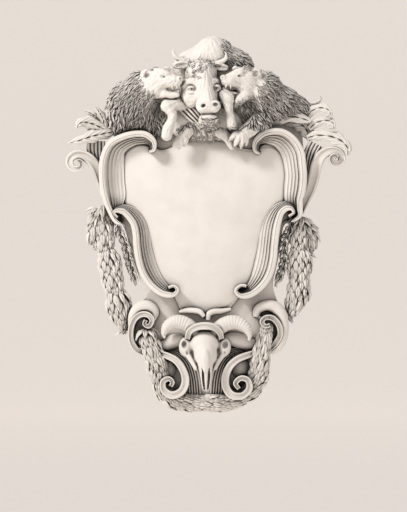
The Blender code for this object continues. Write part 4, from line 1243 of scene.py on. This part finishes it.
for side, nose, way, low, high in (
    ("left", (-26.5, 145), 1, (-105, 73, -6), (-2, 165, 50)),
    ("right", (15.5, 146), -1, (-5, 69, -6), (106, 167, 50)),
):
    clay = Clay(low, high, BEAR_CELL)
    for mass in BEAR_BODIES[side]:
        clay.lump(*mass, blend=7)
    clay.lump(*BEAR_THROATS[side], blend=5, cutting=True)
    bear_head(clay, nose, way, BEAR_JAWS[side], BEAR_MOUTHS[side])
    for stations in BEAR_LEGS[side]:
        clay.limb(stations, blend=2.5)
    for x, z, depth, tip_x, tip_z in BEAR_TOES[side]:
        middle = ((x + tip_x) / 2, (z + tip_z) / 2)
        clay.limb([(x, z, depth, 2.8), (*middle, depth, 2.6), (tip_x, tip_z, depth - 3, 0.7)], 0.9)
    bears[side] = fired(f"bear_{side}", clay)
    fur_strokes(bears[side], away_from(*nose, 0.5), calm(
        (nose[0], nose[1], 6), (nose[0] - way * 9, nose[1] - 12, 9),
        (nose[0] - way * 17.6, nose[1] + 3.6, 6)), 0.28)
    finished(bears[side], STONE)

# %% [markdown]
# ## The ox skull
# Bone between two scrolls: a domed brow with a ribbon tied round it, ringed eye sockets,
# a nose bridge that narrows to the split nasal opening, and thick ridged horns. Bone has
# no hair to hide behind, so its hollows are what makes it read as a skull.

# %% Ox skull
SKULL_CELL = 0.56
skull = Clay((-51, -177, -4), (51, -85, 42), SKULL_CELL)
for mass in (
    (-2.5, -118, 17, 14, 13.5, 13.5), (-1.5, -130, 21, 11.5, 11, 10),
    (-21.5, -122, 15, 6.6, 10, 7), (17.5, -122, 14, 6.4, 9.5, 7),
):
    skull.lump(*mass, blend=3)
# The nose bridge with its ridge, and the cheek bones.
skull.limb([(-1.5, -127, 24, 9.2), (-1.5, -139, 26, 7.4), (-1, -151, 26.5, 5.8),
            (-1, -162, 25.5, 4.0)], blend=3)
skull.lump(-1.5, -136, 33.2, 4.4, 12, 2.8, blend=0.9)
for cheek in (
    [(-20, -129, 17, 3.0), (-15.5, -135, 20, 2.8), (-11, -143, 22.5, 2.4)],
    [(16.5, -129, 16, 2.8), (12, -135, 19, 2.6), (7.5, -143, 22, 2.2)],
):
    skull.limb(cheek, blend=1.6)
# A shallow swell of stone on each side, behind the scrolls.
for dish in ((-39, -143, -3, 9, 11.5, 9), (33, -142, -3, 10, 11.5, 9)):
    skull.lump(*dish, blend=1)
# Eye sockets and the small holes of the brow.
for hollow in (
    (-22.7, -119, 24, 3.4, 4.6, 8), (-19.6, -128, 24, 1.8, 3.0, 5),
    (18.3, -119.5, 23, 3.8, 4.8, 8), (17.8, -128, 23, 1.7, 2.6, 5),
    (-9, -124.6, 31, 0.9, 1.6, 2.4), (-12.4, -128, 29.5, 1.0, 1.9, 2.4),
    (7.5, -125.5, 30, 0.8, 1.4, 2.4),
):
    skull.lump(*hollow, blend=0.8, cutting=True)
# Rims of the sockets, the arch of the brow and the sides of the nose bridge.
for groove in (
    [(-17, -112, 22.5, 0.9), (-16.7, -119, 26, 1.0), (-15.5, -127, 27, 0.7)],
    [(11.6, -113, 22, 0.9), (11.5, -120, 25, 1.0), (10.5, -127, 26, 0.7)],
    [(-5.8, -127, 34.5, 0.7), (-1.6, -123.8, 35.5, 0.7), (2.6, -127, 34.5, 0.7)],
    [(-6.4, -129, 33.4, 0.6), (-6.6, -137, 33.4, 0.6), (-5.2, -143, 32, 0.6)],
    [(3.4, -129, 33.4, 0.6), (3.6, -137, 33.2, 0.6), (2.8, -143, 32, 0.6)],
    [(-11, -131, 29.5, 0.5), (-8.5, -143, 29.5, 0.6), (-6, -155, 28.5, 0.5)],
):
    skull.limb(groove, 0.7, True)
# The two halves of the nasal opening.
for slot in (
    [(-4.2, -143, 31.4, 0.6), (-3.9, -150, 31, 1.2), (-3.3, -158, 29.6, 1.2),
     (-2.1, -166, 27.6, 0.8)],
    [(1.8, -143, 31.4, 0.5), (1.9, -150, 31, 1.1), (1.3, -158, 29.6, 1.1),
     (0.3, -166, 27.6, 0.7)],
):
    skull.limb(slot, 0.5, True, flat=0.35)

# %% [markdown]
# Each horn is a limb through six stations. The rings follow from it: every third step of
# its run, a fine tool cuts a half circle across it, so they stay square to the curve.

# %% Horns and band of the skull
HORN_STEPS = 12
RING_EVERY = 3
HORNS = (
    [(-12, -106, 16, 6.8), (-21, -99, 17, 7.2), (-31, -96.8, 18, 6.9), (-39.5, -101, 20, 5.3),
     (-43, -108, 22, 2.9), (-42.4, -112.5, 22.5, 1.0)],
    [(8, -106, 16, 6.8), (18, -99, 17, 7.4), (29, -97.4, 18, 7.0), (38.5, -102.5, 20, 5.4),
     (42.4, -110, 22, 2.8), (41.8, -115, 22.5, 1.0)],
)
for stations in HORNS:
    run = flow(stations, HORN_STEPS)
    skull.limb(run, blend=0.8, steps=1)
    for k in range(HORN_STEPS, len(run) - HORN_STEPS // 2, RING_EVERY):
        x, z, forward, radius = run[k]
        along = run[k + 1, :2] - run[k - 1, :2]
        across = np.array([-along[1], along[0]]) / np.linalg.norm(along)
        skull.limb([(*(np.array([x, z]) + across * radius * math.cos(turn)),
                     forward + radius * math.sin(turn), 0.55)
                    for turn in np.linspace(0, math.pi, 9)], 0.5, True, steps=2)
finished(fired("ox_skull", skull), STONE)
band = Shells()
strap(band, [(-19.5, -114, 5, 13), (-17.5, -106.5, 6.5, 18), (-11, -102, 7, 21.5),
             (-2, -100.6, 7.5, 23), (6.5, -102, 7, 21.5), (12.5, -107, 6.5, 18),
             (14.5, -114, 5, 13)],
      channelled, 1, face=9.0, thick=12.0)
piece("skull_band", band)

# %% [markdown]
# ## Shaggy coats
# A carver cuts fur as pointed locks that overlap like tiles. Geometry Nodes scatter roots
# over the body, no two too close, stand a lock on each, and turn it the way the coat is
# combed: away from the face and down. The comb is a vector kept at every point of the skin.

# %% Locks of hair
LOCK_LENGTH = 0.027
LOCK_WIDTH = 0.0068
LOCK_RISE = 0.0042
CURL_RADIUS = 0.0048


def lock_object(name, path):
    """A pointed lock, split by one groove, along a path of places and turns."""
    rings = []
    for t, (x, y, turn) in zip(np.linspace(0, 1, len(path)), path):
        half = LOCK_WIDTH / 2 * max(0.55 + 1.5 * t - 2.02 * t**2, 0.05)
        rise = LOCK_RISE * math.sin(math.pi * (0.14 + 0.84 * t)) ** 0.7
        c, s = math.cos(turn), math.sin(turn)
        rings.append([(x - s * half * side, y + c * half * side, rise * height)
                      for side, height in ((1, 0.0), (0.5, 1.0), (0.05, 0.45), (-0.5, 0.9),
                                           (-1, 0.0), (0, -0.8))])
    return stamp(name, rings)


def wave(bend):
    """A path that bends to one side and back."""
    t = np.linspace(0, 1, 6)
    y = bend * LOCK_WIDTH * np.sin(2 * math.pi * t * 0.85)
    return [(LOCK_LENGTH * a, b, 0) for a, b in zip(t, y)]


def ringlet(way):
    """A path that winds up into a curl."""
    path = []
    for t in np.linspace(0, 1, 9):
        angle, radius = 5.2 * t, CURL_RADIUS * (1.15 - 0.75 * t)
        path.append((radius * math.sin(angle), way * (CURL_RADIUS - radius * math.cos(angle)),
                     way * angle))
    return path


shaggy = lock_object("lock a", wave(0.30)), lock_object("lock b", wave(-0.34))
curly = lock_object("curl a", ringlet(1)), lock_object("curl b", ringlet(-1))
print("one lock:", len(shaggy[0].data.polygons), "faces; one curl:",
      len(curly[0].data.polygons), "faces")

# %% [markdown]
# Two shapes of lock are enough. The tree picks one of them for each root at random, varies
# its size and tousles it a little, and no two neighbours look the same.

# %% The coat tree


def coat_tree():
    """Locks on the faces of a body, combed by its comb, hair and size attributes."""
    tree = make_tree("coat", {
        "Lock A": ("Object", None), "Lock B": ("Object", None), "Spacing": ("Float", 0.008),
        "Roots": ("Float", 30000.0), "Lift": ("Float", 0.12), "Tousle": ("Float", 0.36),
        "Seed": ("Int", 5), "Stone": ("Material", None),
    })
    n = Nodes(tree)

    def kept(name, kind):
        return n("GeometryNodeInputNamedAttribute", {"Name": name}, data_type=kind)["Attribute"]

    roots = n("GeometryNodeDistributePointsOnFaces", {
        "Mesh": n.start["Geometry"], "Distance Min": n.start["Spacing"],
        "Density Max": n.start["Roots"], "Density Factor": kept("hair", "FLOAT"),
        "Seed": n.start["Seed"]}, distribute_method="POISSON")
    tousle, seed = n.start["Tousle"], n.start["Seed"]
    yaw = n.random(n.math("MULTIPLY", tousle, -1.0), tousle, seed)
    lift = n.math("MULTIPLY", n.start["Lift"], -1.0)
    combed = n.standing(roots["Normal"], kept("comb", "FLOAT_VECTOR"))
    size = n.math("MULTIPLY", n.random(0.75, 1.2, seed), kept("size", "FLOAT"))
    shapes = []
    for label in ("Lock A", "Lock B"):
        shape = n("GeometryNodeObjectInfo", {"Object": n.start[label]})["Geometry"]
        shapes.append(n("GeometryNodeGeometryToInstance", {0: shape})["Instances"])
    pick = n("FunctionNodeRandomValue", {4: 0, 5: 1, "Seed": seed}, data_type="INT")[2]
    n.finish(n("GeometryNodeInstanceOnPoints", {
        "Points": roots["Points"], "Instance": n.join(*shapes), "Pick Instance": True,
        "Instance Index": pick, "Rotation": n.turned(combed, lift, yaw),
        "Scale": size})["Instances"])
    return tree


def coat(name, body, comb_of, hair_of, size_of, locks, spacing=0.0049, lift=0.14, seed=5):
    """Grows a coat on a copy of a body. Each rule reads (right, up, forward) in squares."""
    mesh = body.data.copy()
    (x, z, forward), co, normals = read_skin(mesh)
    comb = comb_of(x, z, forward)
    comb = np.stack([comb[0], np.zeros(len(x)), comb[1]], 1)
    facing = smooth(0.55, 0.1, normals[:, 1]) * smooth(-2, 3, forward)
    mesh.attributes.new("comb", "FLOAT_VECTOR", "POINT").data.foreach_set("vector", comb.ravel())
    hair = np.clip(hair_of(x, z, forward) * facing, 0, 1)
    mesh.attributes.new("hair", "FLOAT", "POINT").data.foreach_set("value", hair)
    mesh.attributes.new("size", "FLOAT", "POINT").data.foreach_set("value", size_of(x, z, forward))
    grown = run_tree(placed(name, mesh), coat_network, {
        "Lock A": locks[0], "Lock B": locks[1], "Spacing": spacing, "Lift": lift, "Seed": seed,
        "Stone": STONE,
    })
    inside_block(grown)
    grown.shade_smooth()
    return finished(placed(name, grown), STONE)


coat_network = coat_tree()

# %% [markdown]
# Where a coat grows is a rule too. The bears are bare on the muzzle, the ears and the paws,
# and their locks grow from short round the face to long on the back. The bull has locks on
# its hump and chest, and tight curls between the horns and under the chin.

# %% The bears' coats
PAWS_BELOW = 99
BEAR_COATS = {
    "left": (1, (-39, 142), (-44, 143), (-60, 150), -39, 5),
    "right": (-1, (29, 141), (36, 143), (49, 150.5), 61, 9),
}
for side, (way, face, nape, ear, paw_edge, seed) in BEAR_COATS.items():
    def hair(x, z, forward):
        off_face = smooth(15, 24, np.hypot((x - face[0]) * 0.9, (z - face[1]) * 1.15))
        off_ear = smooth(5.5, 8.5, np.hypot(x - ear[0], z - ear[1]))
        paw = (z < PAWS_BELOW) & ((x - paw_edge) * way > 0)
        return off_face * off_ear * np.where(paw, 0, 1)

    def size(x, z, forward):
        return 0.5 + 0.55 * smooth(18, 42, np.hypot(x - face[0], z - face[1]))

    coat(f"bear_{side}_coat", bears[side], away_from(*nape, 0.75), hair, size, shaggy, seed=seed)


# %% The bull's coat
def hump_comb(x, z, forward):
    """Down on the left of the hump, down and outwards on the right."""
    right = smooth(8, 20, x)
    return 0.12 + 1.0 * right, -np.ones(len(x))


def hump_hair(x, z, forward):
    """On the hump above the head, and on the chest below it."""
    above_head = smooth(155, 163, z - np.clip(x - 12, 0, 60) * 0.12)
    chest = smooth(82, 86, z) * smooth(101, 96, z)
    return np.maximum(above_head * smooth(10, 17, x), chest * smooth(32, 26, np.abs(x + 1)))


def hump_size(x, z, forward):
    return 0.5 + 0.45 * smooth(8, 22, x) * smooth(125, 145, z)


def curls_hair(x, z, forward):
    """On the forelock, the poll and the beard."""
    forelock = np.exp(-(((x + 10) / 7.5) ** 2 + ((z - 154) / 8.5) ** 2) ** 2)
    poll = np.exp(-(((x + 1) / 12) ** 2 + ((z - 160) / 4.5) ** 2) ** 2)
    beard = np.exp(-(((x - 3) / 12) ** 2 + ((z - 101) / 6.5) ** 2) ** 2)
    return np.maximum(np.maximum(forelock, poll), beard) * smooth(18, 24, forward)


def curls_size(x, z, forward):
    return np.full(len(x), 0.85)


coat("bull_mane", bull_body, hump_comb, hump_hair, hump_size, shaggy, seed=7)
coat("bull_curls", bull_head, down_the_face, curls_hair, curls_size, curly, 0.0070, 0.1, 2)

# %% [markdown]
# ## Floor, light and camera
# The carving hangs clear above a pale floor. A large soft light stands high on the left,
# as in the drawing, with a weak fill, and the camera looks straight at the front through a
# long lens, so the straps keep the widths that the template gives them.

# %% Stage
PAPER = (0.80, 0.755, 0.715, 1)
PAPER_GLOW = 0.42
FLOOR_LEVEL = -1.35
FLOOR_REACH = 40.0
SWEEP_RADIUS = 6.0
SWEEP_START = 30.0
SWEEP_TOP = 30.0
KEY_POWER = 165
FILL_POWER = 12
ROOM_LIGHT = 0.50


def backdrop_material():
    """Matt paper that glows a little, so that the light falls off softly on it."""
    paper = bpy.data.materials.new("pale backdrop")
    paper.use_nodes = True
    shader = paper.node_tree.nodes["Principled BSDF"]
    shader.inputs["Base Color"].default_value = PAPER
    shader.inputs["Roughness"].default_value = 1.0
    shader.inputs["Specular IOR Level"].default_value = 0.0
    shader.inputs["Emission Color"].default_value = PAPER
    shader.inputs["Emission Strength"].default_value = PAPER_GLOW
    return paper


profile = [(-FLOOR_REACH, FLOOR_LEVEL), (SWEEP_START, FLOOR_LEVEL)]
for angle in np.linspace(0, math.pi / 2, 24)[1:]:
    profile.append((SWEEP_START + SWEEP_RADIUS * math.sin(angle),
                    FLOOR_LEVEL + SWEEP_RADIUS * (1 - math.cos(angle))))
profile.append((SWEEP_START + SWEEP_RADIUS, SWEEP_TOP))
floor_mesh = bpy.data.meshes.new("floor")
floor_mesh.from_pydata([(x, y, z) for y, z in profile for x in (-FLOOR_REACH, FLOOR_REACH)], [],
                       [(2 * k, 2 * k + 1, 2 * k + 3, 2 * k + 2) for k in range(len(profile) - 1)])
floor_mesh.shade_smooth()
floor_mesh.materials.append(backdrop_material())
floor = placed("floor", floor_mesh)


def area_light(name, spot, size, power, colour):
    """A square light that looks at the middle of the carving."""
    data = bpy.data.lights.new(name, "AREA")
    data.size, data.energy, data.color = size, power, colour
    lamp = placed(name, data)
    lamp.location = spot
    lamp.rotation_euler = Vector(spot).to_track_quat("Z", "Y").to_euler()


area_light("key", (-3.0, -2.6, 3.0), 1.0, KEY_POWER, (1.0, 0.975, 0.95))
area_light("fill", (3.5, -4.0, 0.5), 3.0, FILL_POWER, (0.95, 0.97, 1.0))

world_light = bpy.data.worlds.new("studio")
world_light.use_nodes = True
sky = world_light.node_tree.nodes["Background"].inputs
sky["Color"].default_value = (0.93, 0.90, 0.87, 1)
sky["Strength"].default_value = ROOM_LIGHT
bpy.context.scene.world = world_light
bpy.context.scene.view_settings.view_transform = "Standard"

# %% Camera
FRAME_SQUARES = 512
VIEW_DISTANCE = 20.0
FRONT_DEPTH = 0.06
PICTURE_MIDDLE = (-3.5, -31)
lens = bpy.data.cameras.new("camera")
lens.sensor_width = 36
lens.lens = lens.sensor_width * (VIEW_DISTANCE - FRONT_DEPTH) / (FRAME_SQUARES * SQUARE)
camera = placed("camera", lens)
camera.location = (PICTURE_MIDDLE[0] * SQUARE, -VIEW_DISTANCE, PICTURE_MIDDLE[1] * SQUARE)
camera.rotation_euler = (math.radians(90), 0, 0)
bpy.context.scene.camera = camera

# %% [markdown]
# Last, the triangles of all the pieces are counted. The carving has to stay inside the
# block.

# %% Sizes
print("triangles in all:", sum(count for name, count in made))
